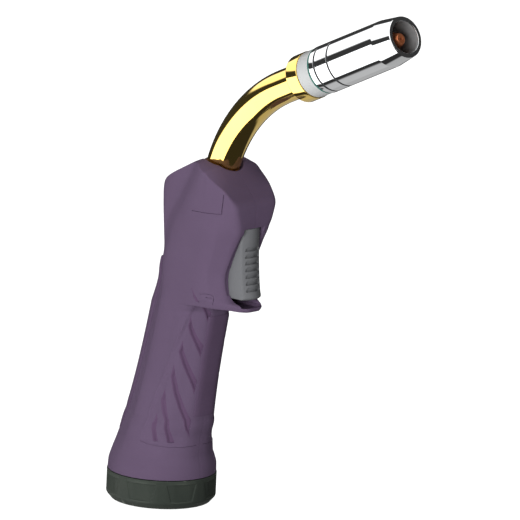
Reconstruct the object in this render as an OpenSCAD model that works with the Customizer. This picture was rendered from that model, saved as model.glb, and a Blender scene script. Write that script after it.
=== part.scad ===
// Gas-cooled MIG welding torch: leaning pistol handle in two shells, bent neck, push-on gas nozzle.
// Z runs up the rear ring's axis and X points forward, towards the nozzle. Sizes are in millimetres.

/* [Rear ring] */
// Outside diameter of the locking ring
ring_d = 50.8; // [46:0.2:60]
// Height of the locking ring
ring_h = 14; // [11:0.5:18]
// Height of the ring's lower bevel
ring_bevel_h = 3.9; // [2:0.1:5]
// Depth of the ring's lower bevel
ring_bevel = 2.6; // [1:0.1:4]
// Number of grip facets round the ring
ring_facets = 8; // [6:1:12]
// Depth of the grip facets
ring_facet_depth = 0.5; // [0.2:0.1:1]
// Wall of the locking ring round the handle's tail
ring_wall = 3.8; // [2.5:0.1:5]
// Floor of the locking ring
ring_floor = 3; // [2:0.1:4]

/* [Cable inlet] */
// Bore that the cable's swivel seats in
inlet_d = 20; // [14:0.5:24]
// Length of the inlet bush
inlet_l = 17; // [12:1:24]
// Diameter of the bush where it passes the ring
bush_d = 28; // [26:0.5:32]

/* [Handle] */
// Lean of the grip from upright, in degrees
grip_lean = 11.3; // [8:0.1:14]
// Front to back size of the grip
grip_depth = 36.8; // [34:0.1:42]
// Side to side size of the grip
grip_w = 30.8; // [28:0.1:36]
// Height at which the tail's flare ends and the grip's lean starts
flare_z = 24; // [22:1:30]
// Wall of the handle shells
wall = 2.4; // [1.8:0.1:3]
// Height of the finger guard's underside
guard_z = 99.5; // [94:0.5:106]
// Reach of the finger guard in front of the ring's axis
guard_x = 54.6; // [50:0.5:60]
// Thickness of the finger guard
guard_t = 2; // [1.5:0.1:3]
// Side to side size of the head
head_w = 34; // [32:0.5:40]
// Front of the head's nose
nose_x = 53.6; // [50:0.1:58]
// Rise of the soft grip pads above the shells
pad_rise = 0.8; // [0.4:0.1:1.2]

/* [Trigger] */
// Width of the trigger
trigger_w = 12.4; // [10:0.2:14]
// Height of the trigger's lower end
trigger_z = 104.4; // [102:0.2:108]
// Height of the trigger's upper end
trigger_top = 137.6; // [132:0.2:140]
// Number of finger ribs
trigger_ribs = 7; // [4:1:9]
// Diameter of the trigger's pin
pin_d = 3; // [2:0.1:4]

/* [Neck] */
// Outside diameter of the polished neck jacket
neck_d = 15.2; // [13:0.1:18]
// Wall of the neck jacket
neck_wall = 1; // [0.8:0.1:1.5]
// Bend radius at the neck's centre
neck_bend_r = 73; // [60:1:90]
// Angle of the bend, in degrees
neck_bend = 50; // [30:1:60]
// Straight stretch after the bend
neck_front_l = 13.3; // [8:0.1:20]
// Diameter of the copper conductor inside the neck
core_d = 9; // [7:0.2:10]
// Diameter of the wire liner
liner_d = 4.2; // [3:0.1:5]
// Bore of the wire liner
liner_bore = 2.4; // [1.6:0.1:3]

/* [Nozzle end] */
// Diameter of the brass collar
collar_d = 22.1; // [20:0.1:26]
// Length of the brass collar
collar_l = 7.3; // [5:0.1:10]
// Diameter of the white insulator
insulator_d = 21.4; // [19:0.1:25]
// Length of the white insulator
insulator_l = 7.3; // [5:0.1:10]
// Thickness of the seal ring
seal_t = 0.9; // [0.6:0.1:1.4]
// Outside diameter of the gas nozzle
nozzle_d = 22; // [20:0.1:26]
// Length of the gas nozzle
nozzle_l = 54.6; // [48:0.1:64]
// Length of the nozzle's tapered front
nozzle_taper_l = 11.1; // [8:0.1:16]
// Outside diameter at the nozzle's mouth
mouth_d = 19; // [17:0.1:21]
// Bore at the nozzle's mouth
mouth_bore = 15.7; // [14:0.1:17]
// Diameter of the contact tip
tip_d = 10; // [8:0.2:10]
// Wire bore of the contact tip
wire_bore = 1.2; // [0.8:0.1:1.6]
// How far the contact tip sits back from the mouth
tip_recess = 2.9; // [0:0.1:6]

/* [Fits] */
// Clearance between pieces that stay together
fit = 0.08; // [0.04:0.01:0.15]
// Clearance between pieces that move past each other
gap = 0.3; // [0.25:0.05:0.5]

/* [Hidden] */
$fn = 64;

purple = [0.38, 0.32, 0.43];
dark_green = [0.22, 0.25, 0.22];
grey = [0.45, 0.46, 0.47];
gold = [0.85, 0.68, 0.25];
brass = [0.78, 0.62, 0.30];
copper = [0.72, 0.36, 0.22];
chrome = [0.85, 0.86, 0.88];
ivory = [0.86, 0.86, 0.88];
teal = [0.25, 0.48, 0.44];
black = [0.10, 0.10, 0.11];

ring_r = ring_d / 2;
tail_r = ring_r - 0.25;           // the handle's skin above the ring
spigot_r = ring_r - ring_wall;    // the tail inside the ring
cavity_z = 146;                   // ceiling of the handle's cavity

// --- the neck's line: straight through the handle, a bend, a short straight front
neck_lean = 13.5;
neck_front = neck_lean + neck_bend;
neck_foot = [29.7, 159.3];        // where the bend starts, [x, z]
bend_c = neck_foot + neck_bend_r * [cos(neck_lean), -sin(neck_lean)];
bend_end = bend_c - neck_bend_r * [cos(neck_front), -sin(neck_front)];
collar_at = bend_end + neck_front_l * [sin(neck_front), cos(neck_front)];
end_draw = 0.02;                  // how much thinner the straight ends are
end_lap = 0.5;                    // how far they run into the bend

// along the handle, t counts up from where the bend starts
module on_handle(t = 0) translate([neck_foot[0], 0, neck_foot[1]]) rotate([0, neck_lean, 0])
    translate([0, 0, t]) children();
// along the nozzle, s counts forward from the collar's rear face
module on_nozzle(s = 0) translate([collar_at[0], 0, collar_at[1]]) rotate([0, neck_front, 0])
    translate([0, 0, s]) children();
module tube(r, bore, l) difference() {
    cylinder(r = r, h = l);
    translate([0, 0, -1]) cylinder(r = bore, h = l + 2);
}
// a rod along the neck, from tail below the bend to nose past the collar's rear face;
// its straight ends are drawn a hair thinner than the bend they run into
module neck_rod(r, tail, nose) {
    on_handle(-tail) cylinder(r = r - end_draw, h = tail + end_lap);
    translate([bend_c[0], 0, bend_c[1]]) rotate([90, 0, 0]) rotate([0, 0, 180 - neck_front])
        rotate_extrude(angle = neck_bend) translate([neck_bend_r, 0]) circle(r = r);
    on_nozzle(-neck_front_l - end_lap) cylinder(r = r - end_draw, h = neck_front_l + end_lap + nose);
}
module neck_tube(r, bore, tail, nose) difference() {
    neck_rod(r, tail, nose);
    neck_rod(bore, tail + 1, nose + 1);
}

// --- the handle's skin: level sections, each a rear, a side and a front between rounded corners
head_r = head_w / 2;
grip_a = grip_depth / 2;
grip_b = grip_w / 2;
// the tail's flare: height above the ring, share of the step from the grip to the ring
flare = [[0, 1], [4, 0.97], [7, 0.82], [10, 0.62], [14, 0.44], [18, 0.31], [23, 0.2], [28, 0]];
function swell(z) = lookup(z, [[42, 2.5], [50, 1.8], [60, 1.1], [74, 0.5], [92, 0.1]]);
function axis_x(z) = max(0, z - flare_z) * tan(grip_lean);
function grip_half(z, a) = let (g = a + swell(z)) g + (tail_r - g) * lookup(z - ring_h, flare);

// one section: [z, rear x, front x, spine half width, spine end x, side half width,
//   side start x, side end x, front half width, how far from round to faceted]
grip_z = concat([for (f = flare) ring_h + f[0]], [50, 60, 74, 88, guard_z - 5]);
pad_low = ring_h + 24;             // the pads start on the first section above this
function grip_row(z, k) = let (c = axis_x(z), a = grip_half(z, grip_a), b = grip_half(z, grip_b))
    [z, c - a, c + a, b * 0.55, c - a * 0.62, b, c - a * 0.42, c + a * 0.45, b * 0.45, k];
under = guard_z;
over = guard_z + 4;
function side_w(z) = lookup(z, [[under - 5, grip_b + 0.1], [130, head_r - 0.3]]);
head_rows = [
    [under - 0.6, -2.2, 34.6, 9.2, 3, side_w(under - 0.6), 8, 30, 6, 0.7],
    [under, -1.8, guard_x - 0.6, 9.2, 3, side_w(under), 8, 34, 5, 0.8],
    [under + guard_t, -0.8, guard_x, 9.3, 3.4, side_w(under + guard_t), 8.5, 35, 5.4, 0.85],
    [over, 0.3, 47.8, 9.5, 4, side_w(over), 9, 36, 9, 0.9],
    [over + 2, 1.3, 45.6, 9.6, 4.6, side_w(over + 2), 9.4, 36, 9.2, 0.9],
    [113.7, 3.2, 44.2, 10, 6.4, side_w(113.7), 10, 36, 9.4, 1],
    [122, 5.8, 46.6, 10.8, 8.6, side_w(122), 11, 38, 9.2, 1],
    [130, 4.9, 49.8, 11.4, 10.4, head_r - 0.3, 13, 40, 9.4, 1],
    [137.6, 3.6, nose_x - 0.7, 11.8, 13, head_r - 0.1, 16.4, 42, 10, 1],
    [142, 2.8, nose_x, 12, 15, head_r, 18.6, 41, 11.6, 1],
    [149, 1.9, nose_x, 12, 17.4, head_r, 22, 39, 13.6, 1],
    [157, 3.2, nose_x, 12, 20.4, head_r, 26, 38.5, 13.6, 1],
    [168, 6, nose_x, 12, 24.6, head_r, 30, 38.5, 13.6, 1]];
rows = concat([for (i = [0:len(grip_z) - 1]) grip_row(grip_z[i], i / len(grip_z) * 0.7)], head_rows);

// corners of a half section from the rear's middle to the front's middle, and how far each is cut
function corners(q) = [[q[1], 0], [q[1], q[3]], [q[4], q[3] + 0.5], [q[6], q[5]], [q[7], q[5]],
    [q[2], q[8]], [q[2], 0]];
cuts = [0, 0.46, 0.3, 0.3, 0.32, 0.22, 0];
steps = 3;                        // points on each rounded corner, less one
function bend_pt(a, p, b, c, t) = let (u = p + (a - p) * c, v = p + (b - p) * c)
    (1 - t) * (1 - t) * u + 2 * t * (1 - t) * p + t * t * v;
function faceted(q) = let (c = corners(q)) concat([c[0]],
    [for (i = [1:5], j = [0:steps]) bend_pt(c[i - 1], c[i], c[i + 1], cuts[i], j / steps)], [c[6]]);
per_half = 5 * (steps + 1) + 2;
function round_pt(q, j) = let (w = 180 - 180 * j / (per_half - 1), a = (q[2] - q[1]) / 2)
    [(q[1] + q[2]) / 2 + a * cos(w), q[5] * sin(w)];
// a half section moved in by inset, blended between round and faceted
function section(q, inset) = let (f = faceted(q), m = (q[1] + q[2]) / 2, a = (q[2] - q[1]) / 2)
    [for (j = [0:per_half - 1]) let (p = f[j] * q[9] + round_pt(q, j) * (1 - q[9]))
        [m + (p[0] - m) * (a - inset) / a, p[1] * (q[5] - inset) / q[5]]];
// closed solid through the rows rs on one side of the middle plane, side = -1 or 1
module half_loft(rs, inset, side) {
    n = per_half;
    m = len(rs);
    pts = [for (q = rs, p = section(q, inset)) [p[0], side * p[1], q[0]]];
    skin = [for (i = [0:m - 2], j = [0:n - 2], c = [0:1]) let (a = i * n + j)
        c == 0 ? [a, a + 1, a + n + 1] : [a, a + n + 1, a + n]];
    seam = [for (i = [0:m - 2], c = [0:1]) let (a = i * n, b = i * n + n - 1)
        c == 0 ? [b, a, a + n] : [b, a + n, b + n]];
    ends = [[for (j = [n - 1:-1:0]) j], [for (j = [0:n - 1]) (m - 1) * n + j]];
    all = concat(skin, seam, ends);
    polyhedron(pts, side > 0 ? all : [for (f = all) [for (k = [len(f) - 1:-1:0]) f[k]]]);
}
// a pad lying on the skin through the rows rs, over the section's points from to upto, both sides
module pad(rs, from, upto) {
    h = upto - from;
    n = 2 * h + 1;
    m = len(rs);
    at_rear = from == 0;
    function strip(q, out) = let (p = section(q, -out))
        [for (c = [-h:h]) let (j = at_rear ? abs(c) : upto - abs(c)) [p[j][0], sign(c) * p[j][1], q[0]]];
    pts = concat([for (q = rs) each strip(q, pad_rise)], [for (q = rs) each strip(q, fit)]);
    far = m * n;
    skin = [for (i = [0:m - 2], j = [0:n - 2], o = [0, far]) let (a = o + i * n + j)
        o == 0 ? [a, a + 1, a + n + 1, a + n] : [a, a + n, a + n + 1, a + 1]];
    sides = [for (i = [0:m - 2]) each [[i * n, i * n + n, far + i * n + n, far + i * n],
        [i * n + n - 1, far + i * n + n - 1, far + i * n + 2 * n - 1, i * n + 2 * n - 1]]];
    ends = [for (j = [0:n - 2]) each [[j, far + j, far + j + 1, j + 1],
        [(m - 1) * n + j, (m - 1) * n + j + 1, far + (m - 1) * n + j + 1, far + (m - 1) * n + j]]];
    quads = concat(skin, sides, ends);
    // each quad is split along the skin's own diagonal
    tris = [for (f = quads, c = [0:1]) let (mid = f[0] % n < h, turned = at_rear ? mid : !mid)
        turned ? (c == 0 ? [f[0], f[1], f[3]] : [f[1], f[2], f[3]])
            : (c == 0 ? [f[0], f[1], f[2]] : [f[0], f[2], f[3]])];
    polyhedron(pts, at_rear ? tris : [for (f = tris) [f[2], f[1], f[0]]]);
}
// everything above the head's roof line, seen from the side
roof = [[-20, 141], [2, 150.6], [3.8, 154.4], [11.6, 158.5], [23.5, 165.2], [28.4, 166.6], [36.2, 164.8],
    [46.8, 156.4], [nose_x, 149.6], [70, 130], [70, 190], [-20, 190]];
module from_side(w) rotate([90, 0, 0]) translate([0, 0, -w]) linear_extrude(2 * w) children();
module above_roof() from_side(40) polygon(roof);

// --- pieces inside, by their places
screw_at = [[-4.5, 54], [16, 66], [9.3, 124], [12.5, 151]];  // x, z
screw_r = 1.4;
screw_wall = 1.3;
screw_head_r = 2.4;
screw_seat = 6;                   // from the middle plane to the head's seat
screw_tip = 8.5;
pin_at = [45.5, 133.5];
slot_w = trigger_w + 2 * gap + 0.1;
slot_back = 38.6;
trigger_back = 40.6;
switch_x = 30.8;
switch_w = 7.4;
switch_t = 6.4;
switch_z = [105, 125];
plunger_z = 118;
plunger_r = 1.2;
switch_screw_at = [for (z = [switch_z[0] + 2.8, switch_z[1] - 2.8]) [switch_x + 2.4, z]];
switch_screw_r = 1;
screw_bite = 8.8;                 // how far its screws run into the right shell's posts
pin_l = 20;
block_r = 8.5;
block_top = 22.5;                 // from where the bend starts, down the handle
block_l = 25.5;
block_seat = 9.5;                 // depth of the conductor's seat in the block
saddle_at = [-27, -43];           // the saddles that hold the block
saddle_t = 2.6;
stud_r = 5;
stud_l = 12;
barb_at = -6.8;                   // the gas barb's place across the block
barb_r = 1.5;
bush_l = 10.5;
bush_r = neck_d / 2 + 2.4;
jacket_tail = 12.2;               // the jacket's length below the bend
jacket_seat = collar_l - 2.8;     // its depth in the collar
nut_l = 8.6;
core_r = core_d / 2;
liner_r = liner_d / 2;

// --- handle
cavity_rows = concat([for (q = rows) if (q[0] > ring_h + 1 && q[0] < guard_z - 2) q],
    [for (q = rows) if (q[0] > over + 1 && q[0] < cavity_z) q]);
module saddle(t, side) on_handle(t) difference() {
    translate([-9, side > 0 ? 0 : -grip_w, 0]) cube([17, grip_w, saddle_t]);
    translate([0, 0, -1]) cylinder(r = block_r + fit, h = 5);
}
// posts run from the middle plane to the skin, and are wider round the screw's head
module screw_boss(s, side) translate([s[0], 0, s[1]]) rotate([side > 0 ? -90 : 90, 0, 0]) {
    cylinder(r = screw_r + screw_wall, h = side > 0 ? screw_seat : grip_w);
    if (side > 0) translate([0, 0, screw_seat - 1.2])
        cylinder(r = screw_head_r + gap + screw_wall - 0.3, h = grip_w);
}
module handle_shell(side) difference() {
    union() {
        difference() {
            union() {
                half_loft(rows, 0, side);
                intersection() {
                    translate([0, 0, ring_floor + 2.6])
                        cylinder(r = spigot_r - fit, h = ring_h - ring_floor);
                    translate([-30, side > 0 ? 0 : -30, 0]) cube([60, 30, 30]);
                }
            }
            half_loft(cavity_rows, wall, side);
            translate([0, 0, -1]) cylinder(r = spigot_r - wall - 1, h = 20);
        }
        intersection() {
            half_loft(rows, 0.4, side);
            union() {
                for (s = screw_at) screw_boss(s, side);
                translate([pin_at[0] - 4, side > 0 ? slot_w / 2 : -pin_l / 2 - 1, pin_at[1] - 3.6])
                    cube([7, pin_l / 2 + 1 - slot_w / 2, 7.2]);
                for (t = saddle_at) saddle(t, side);
                if (side < 0) for (s = switch_screw_at) translate([s[0], -switch_t / 2, s[1]])
                    rotate([90, 0, 0]) cylinder(r = 2.3, h = grip_w);
            }
        }
    }
    above_roof();
    translate([slot_back, -slot_w / 2, guard_z + guard_t])
        cube([30, slot_w, trigger_top + 0.5 - guard_z - guard_t]);
    on_handle(-32) cylinder(r = bush_r + fit, h = 31);
    on_handle(-2) cylinder(r = neck_d / 2 + 0.6, h = 7);
    on_handle(4.2) cylinder(r = neck_d / 2 + 1.8, h = 20);
    translate([pin_at[0], -pin_l / 2 - 0.2, pin_at[1]]) rotate([-90, 0, 0])
        cylinder(r = pin_d / 2 + fit, h = pin_l + 0.4);
    for (s = screw_at) translate([s[0], 0, s[1]]) rotate([90, 0, 0]) {
        translate([0, 0, -40]) cylinder(r = screw_head_r + gap, h = 40 - screw_seat);
        translate([0, 0, -screw_seat - 1])
            cylinder(r = screw_r + fit, h = screw_seat + 1 + screw_tip + 0.4);
    }
    for (s = switch_screw_at) translate([s[0], 0, s[1]]) rotate([90, 0, 0])
        cylinder(r = switch_screw_r + fit, h = screw_bite + 0.4);
}
module handle_shell_right() color(purple) handle_shell(-1);
module handle_shell_left() color(purple) handle_shell(1);
module rear_grip_pad() color(purple)
    pad([for (q = rows) if (q[0] > pad_low && q[0] < 115) q], 0, 5);
module front_grip_pad() color(purple)
    pad([for (q = rows) if (q[0] > pad_low && q[0] < guard_z - 2) q], per_half - 6, per_half - 1);
module handle_screws() color(black) for (s = screw_at) translate([s[0], 0, s[1]]) rotate([90, 0, 0]) {
    translate([0, 0, -screw_seat - 2]) difference() {
        cylinder(r = screw_head_r, h = 2);
        translate([0, 0, -1]) cylinder(r = 1.2, h = 2, $fn = 6);
    }
    translate([0, 0, -screw_seat]) cylinder(r = screw_r, h = screw_seat + screw_tip);
}

// --- tail
module facet(wide_top) rotate([90, 0, 90]) translate([0, 0, ring_r - ring_facet_depth]) linear_extrude(6)
    let (a = wide_top ? 6.7 : 4.2, b = wide_top ? 4.6 : 7.2)
        polygon([[-b, 2], [b, 2], [a, ring_h - 1.6], [-a, ring_h - 1.6]]);
module locking_ring() color(dark_green) difference() {
    rotate_extrude() polygon([[bush_d / 2 + gap, 0], [ring_r - ring_bevel, 0], [ring_r, ring_bevel_h],
        [ring_r, ring_h - 0.1], [spigot_r + fit / 2, ring_h - 0.1], [spigot_r + fit / 2, ring_floor],
        [bush_d / 2 + gap, ring_floor]]);
    for (i = [0:ring_facets - 1]) rotate(i * 360 / ring_facets) facet(true);
}
module cable_inlet_bush() color(black) rotate_extrude() polygon([[inlet_d / 2, 0], [bush_d / 2, 0],
    [bush_d / 2, ring_floor + gap], [spigot_r - 0.9, ring_floor + gap], [spigot_r - 0.9, ring_floor + 2.3],
    [spigot_r - wall - 1 - fit, ring_floor + 2.3], [spigot_r - wall - 1 - fit, inlet_l],
    [inlet_d / 2, inlet_l]]);

// --- trigger and switch
front_line = [[104.4, 53.4], [105.6, 54.3], [108, 53.7], [116.6, 52.6], [128.2, 52], [137.6, 52.3]];
function front_x(z) = lookup(z, front_line);
rib_z = 127.4;                    // the top rib
rib_pitch = 3.1;
rib_rise = 0.55;
module trigger() color(grey) difference() {
    union() {
        intersection() {
            from_side(trigger_w / 2) polygon(concat([for (p = front_line)
                [p[1], min(max(p[0], trigger_z), trigger_top)]], [[44, trigger_top], [41.6, 135.6],
                [41.6, 131.6], [trigger_back, 126], [trigger_back, 107], [42.6, trigger_z]]));
            linear_extrude(200) scale([1, trigger_w / 2]) polygon([[30, -1], [45.5, -1], [54, -0.76],
                [60, -0.66], [60, 0.66], [54, 0.76], [45.5, 1], [30, 1]]);
        }
        for (i = [0:trigger_ribs - 1]) let (z = rib_z - rib_pitch * i, x = front_x(z))
            from_side(trigger_w * 0.36)
                polygon([[x - 0.4, z + 1.3], [x + rib_rise, z - 0.5], [x - 0.4, z - 0.7]]);
    }
    translate([pin_at[0], -20, pin_at[1]]) rotate([-90, 0, 0]) cylinder(r = pin_d / 2 + 0.05, h = 40);
}
module trigger_pin() color(chrome) translate([pin_at[0], -pin_l / 2, pin_at[1]]) rotate([-90, 0, 0])
    cylinder(r = pin_d / 2, h = pin_l);
module microswitch_body() color(black) difference() {
    translate([switch_x, -switch_t / 2, switch_z[0]]) cube([switch_w, switch_t, switch_z[1] - switch_z[0]]);
    translate([34, 0, plunger_z]) rotate([0, 90, 0]) cylinder(r = plunger_r + 0.05, h = 10);
    for (s = switch_screw_at) translate([s[0], 20, s[1]]) rotate([90, 0, 0])
        cylinder(r = switch_screw_r + fit, h = 40);
}
module switch_plunger() color("darkred") translate([switch_x + switch_w - 2.2, 0, plunger_z])
    rotate([0, 90, 0]) cylinder(r = plunger_r, h = trigger_back - gap - switch_x - switch_w + 2.2);
module switch_screws() color(chrome) for (s = switch_screw_at) translate([s[0], switch_t / 2, s[1]])
    rotate([90, 0, 0]) {
        translate([0, 0, -1.2]) cylinder(r = 1.9, h = 1.2);
        cylinder(r = switch_screw_r, h = switch_t / 2 + screw_bite);
    }
module switch_terminals() color(brass) for (x = [switch_x + 1.2, switch_x + 4])
    translate([x, -1.2, switch_z[0] - 5.5]) cube([0.7, 2.4, 5.5]);

// --- neck and what joins it to the cable
module neck_bush() color(black) on_handle(-1 - bush_l) tube(bush_r, neck_d / 2 + fit, bush_l);
module swan_neck() color(gold)
    neck_tube(neck_d / 2, neck_d / 2 - neck_wall, jacket_tail, jacket_seat);
module neck_insulation() color(black)
    neck_tube(neck_d / 2 - neck_wall - fit, core_r + fit, jacket_tail, jacket_seat);
module inner_conductor() color(copper)
    neck_tube(core_r, liner_r + fit, block_top + block_seat - 0.5, collar_l + core_seat);
module wire_liner() color("silver")
    neck_tube(liner_r, liner_bore / 2, block_top + block_l + 18, collar_l + liner_seat);
module neck_lock_nut() color(brass) on_handle(-jacket_tail - 0.2 - nut_l) difference() {
    cylinder(r = 9.8, h = nut_l, $fn = 6);
    translate([0, 0, -1]) cylinder(r = core_r + fit, h = nut_l + 2);
}
module power_block() color(brass) on_handle(-block_top - block_l) difference() {
    union() {
        cylinder(r = block_r, h = block_l);
        translate([0, 0, -stud_l]) cylinder(r = stud_r, h = stud_l + 1);
    }
    translate([0, 0, block_l - block_seat]) cylinder(r = core_r + fit, h = 20);
    translate([0, 0, -20]) cylinder(r = liner_r + fit, h = 60);
    translate([barb_at, 0, -1]) cylinder(r = barb_r + fit, h = 6);
}
module block_o_ring() color(black) on_handle(-block_top + 0.76) rotate_extrude()
    translate([core_r + fit + 1.1, 0]) circle(r = 0.7);
module gas_barb() color(brass) on_handle(-block_top - block_l - 9) translate([barb_at, 0, 0])
    tube(barb_r, 0.9, 13.5);

// --- nozzle end, s from the collar's rear face
holder_r = 6.2;
holder_s = collar_l + 0.1;        // where the tip holder starts
holder_l = insulator_l + 11.7;    // its thick rear part
core_seat = 1.7;                  // how far the conductor runs into the holder
liner_seat = 10.7;                // how far the liner runs into it
tip_thread_r = 4;
tip_thread_l = 8;
seal_s = collar_l + insulator_l + 0.15;
nozzle_s = seal_s + seal_t + 0.25;
mouth_s = nozzle_s + nozzle_l;
tip_s = mouth_s - tip_recess;
shoulder_s = tip_s - 23.6;
carrier_r = nozzle_d / 2 - 3.4;
carrier_l = 17.5;
gas_hole_r = 1;
sleeve_wall = 1.3;                // the nozzle's wall over the insulating sleeve
lining_r = nozzle_d / 2 - 2;      // outside of the brass insert, less its clearance
insert_l = 20;
module neck_collar() color(gold) on_nozzle() difference() {
    rotate_extrude() polygon([[0, 0], [collar_d / 2 - 0.4, 0], [collar_d / 2, 0.4],
        [collar_d / 2, collar_l], [0, collar_l]]);
    translate([0, 0, -1]) cylinder(r = neck_d / 2 + fit, h = jacket_seat + 1.1);
    cylinder(r = core_r + fit, h = collar_l + 1);
}
module insulator_ring() color(ivory) on_nozzle(collar_l + 0.1)
    tube(insulator_d / 2, holder_r + fit, insulator_l);
module seal_ring() color(teal) on_nozzle(seal_s) tube(insulator_d / 2 + 0.15, holder_r + fit, seal_t);
module tip_holder() color(brass) on_nozzle() difference() {
    union() {
        translate([0, 0, holder_s]) cylinder(r = holder_r, h = holder_l);
        translate([0, 0, holder_s + holder_l - 1])
            cylinder(r = 5.6, h = shoulder_s - holder_s - holder_l + 0.95);
        translate([0, 0, shoulder_s - 8.05]) cylinder(r = 6.1, h = 8, $fn = 6);
    }
    cylinder(r = core_r + fit, h = collar_l + core_seat + 0.2);
    cylinder(r = liner_r + fit, h = collar_l + liner_seat + 0.2);
    cylinder(r = 1.5, h = shoulder_s);
    translate([0, 0, shoulder_s - tip_thread_l - 1]) cylinder(r = tip_thread_r + fit / 2, h = 20);
    for (a = [0:60:300]) rotate(a) translate([0, 0, holder_s + holder_l + 1.2]) rotate([0, 90, 0])
        cylinder(r = 0.8, h = 10);
}
module gas_diffuser() color(ivory) on_nozzle(nozzle_s - 0.1) difference() {
    tube(carrier_r, holder_r + fit, carrier_l);
    for (a = [0:45:315]) rotate(a) translate([0, 0, carrier_l - 3.3]) rotate([0, 90, 0])
        cylinder(r = gas_hole_r, h = 20);
}
module nozzle_clip_ring() color(chrome) on_nozzle(nozzle_s + 3) difference() {
    tube(carrier_r + 0.52, carrier_r + fit / 2, 4);
    translate([0, -1, -1]) cube([20, 2, 6]);
}
module contact_tip() color(copper) on_nozzle() difference() {
    rotate_extrude() polygon(concat([[0, shoulder_s - tip_thread_l],
        [tip_thread_r - 0.4, shoulder_s - tip_thread_l], [tip_thread_r, shoulder_s - tip_thread_l + 0.4],
        [tip_thread_r, shoulder_s], [tip_d / 2, shoulder_s], [tip_d / 2, tip_s - 7.2], [2.95, tip_s - 1.1]],
        [for (a = [10:20:90]) [2 + 1.05 * cos(a), tip_s - 1.05 + 1.05 * sin(a)]], [[0, tip_s]]));
    cylinder(r = wire_bore / 2, h = 100);
}
groove_at = [3.3, 12.2];          // from the nozzle's rear edge
groove_w = 0.4;
module gas_nozzle() color(chrome) on_nozzle() rotate_extrude() let (r = nozzle_d / 2, low = r - 0.25)
    polygon(concat([[r - sleeve_wall, nozzle_s], [r - 0.3, nozzle_s], [r, nozzle_s + 0.3]],
        [for (g = groove_at) each [[r, nozzle_s + g], [low, nozzle_s + g], [low, nozzle_s + g + groove_w],
            [r, nozzle_s + g + groove_w]]],
        [[r, mouth_s - nozzle_taper_l], [mouth_d / 2, mouth_s - 0.3], [mouth_d / 2 - 0.3, mouth_s],
        [mouth_bore / 2 + 0.3, mouth_s], [mouth_bore / 2, mouth_s - 0.5], [mouth_bore / 2, mouth_s - 1.6],
        [r - 1.7, mouth_s - nozzle_taper_l - 1.4], [r - 1.7, nozzle_s + insert_l + 1],
        [r - sleeve_wall, nozzle_s + insert_l + 1]]));
module nozzle_insulation() color(ivory) on_nozzle(nozzle_s + 0.3)
    tube(nozzle_d / 2 - sleeve_wall - fit, lining_r, insert_l);
module nozzle_insert() color(brass) on_nozzle(nozzle_s + 0.5)
    tube(lining_r - fit, carrier_r + 0.6, insert_l - 0.2);

handle_shell_right();
handle_shell_left();
rear_grip_pad();
front_grip_pad();
locking_ring();
cable_inlet_bush();
handle_screws();
trigger();
trigger_pin();
microswitch_body();
switch_plunger();
switch_screws();
switch_terminals();
neck_bush();
swan_neck();
neck_insulation();
inner_conductor();
wire_liner();
neck_lock_nut();
power_block();
block_o_ring();
gas_barb();
neck_collar();
insulator_ring();
seal_ring();
tip_holder();
gas_diffuser();
nozzle_clip_ring();
contact_tip();
gas_nozzle();
nozzle_insulation();
nozzle_insert();
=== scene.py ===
import math

import bpy
import bmesh
import numpy as np
from mathutils import Matrix, Vector


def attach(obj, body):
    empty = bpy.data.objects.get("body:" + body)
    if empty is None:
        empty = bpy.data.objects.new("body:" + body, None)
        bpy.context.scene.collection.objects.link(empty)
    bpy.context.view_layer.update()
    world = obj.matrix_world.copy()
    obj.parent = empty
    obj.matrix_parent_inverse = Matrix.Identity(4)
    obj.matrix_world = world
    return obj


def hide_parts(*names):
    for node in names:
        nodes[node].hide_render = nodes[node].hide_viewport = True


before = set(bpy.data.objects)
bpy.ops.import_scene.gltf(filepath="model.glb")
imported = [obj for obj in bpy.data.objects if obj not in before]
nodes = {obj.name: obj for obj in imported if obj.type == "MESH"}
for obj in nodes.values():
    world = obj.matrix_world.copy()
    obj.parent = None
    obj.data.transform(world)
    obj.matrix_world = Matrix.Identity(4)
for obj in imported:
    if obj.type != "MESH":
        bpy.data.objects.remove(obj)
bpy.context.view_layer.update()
scene = bpy.context.scene
scene.view_settings.view_transform = "Standard"
scene.view_settings.look = "None"
mm = 0.001
print("frame loaded:", len(nodes), "pieces of the torch")


# camera, floor and lights

cameraView = {
    "right": (0.7088, 0.7041, 0.0432),
    "up": (-0.1905, 0.1321, 0.9728),
    "back": (0.6792, -0.6977, 0.2277),
    "target": (57.2, 0, 123.9),
    "distance": 9937.5,
    "lens": 1500,
}


def addCamera(s):
    back = Vector(s["back"]).normalized()
    right = Vector(s["right"])
    right = (right - back * right.dot(back)).normalized()
    up = back.cross(right)
    turn = Matrix((right, up, back)).transposed()
    data = bpy.data.cameras.new("torchCamera")
    data.lens = s["lens"]
    data.sensor_width = 36
    data.clip_start, data.clip_end = 0.1, 100
    camera = bpy.data.objects.new("torchCamera", data)
    camera.matrix_world = Matrix.Translation((Vector(s["target"]) + back * s["distance"]) * mm) @ turn.to_4x4()
    scene.collection.objects.link(camera)
    scene.camera = camera


addCamera(cameraView)


# small helpers for meshes, outlines and node trees

# points in millimetres
def pieceFrom(name, points, faces, finish, body, sharp=35, close=False):
    mesh = bpy.data.meshes.new(name)
    mesh.from_pydata([tuple(float(c) * mm for c in p) for p in points], [], [tuple(int(i) for i in f) for f in faces])
    return finishPiece(name, mesh, finish, body, sharp, close)


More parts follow.
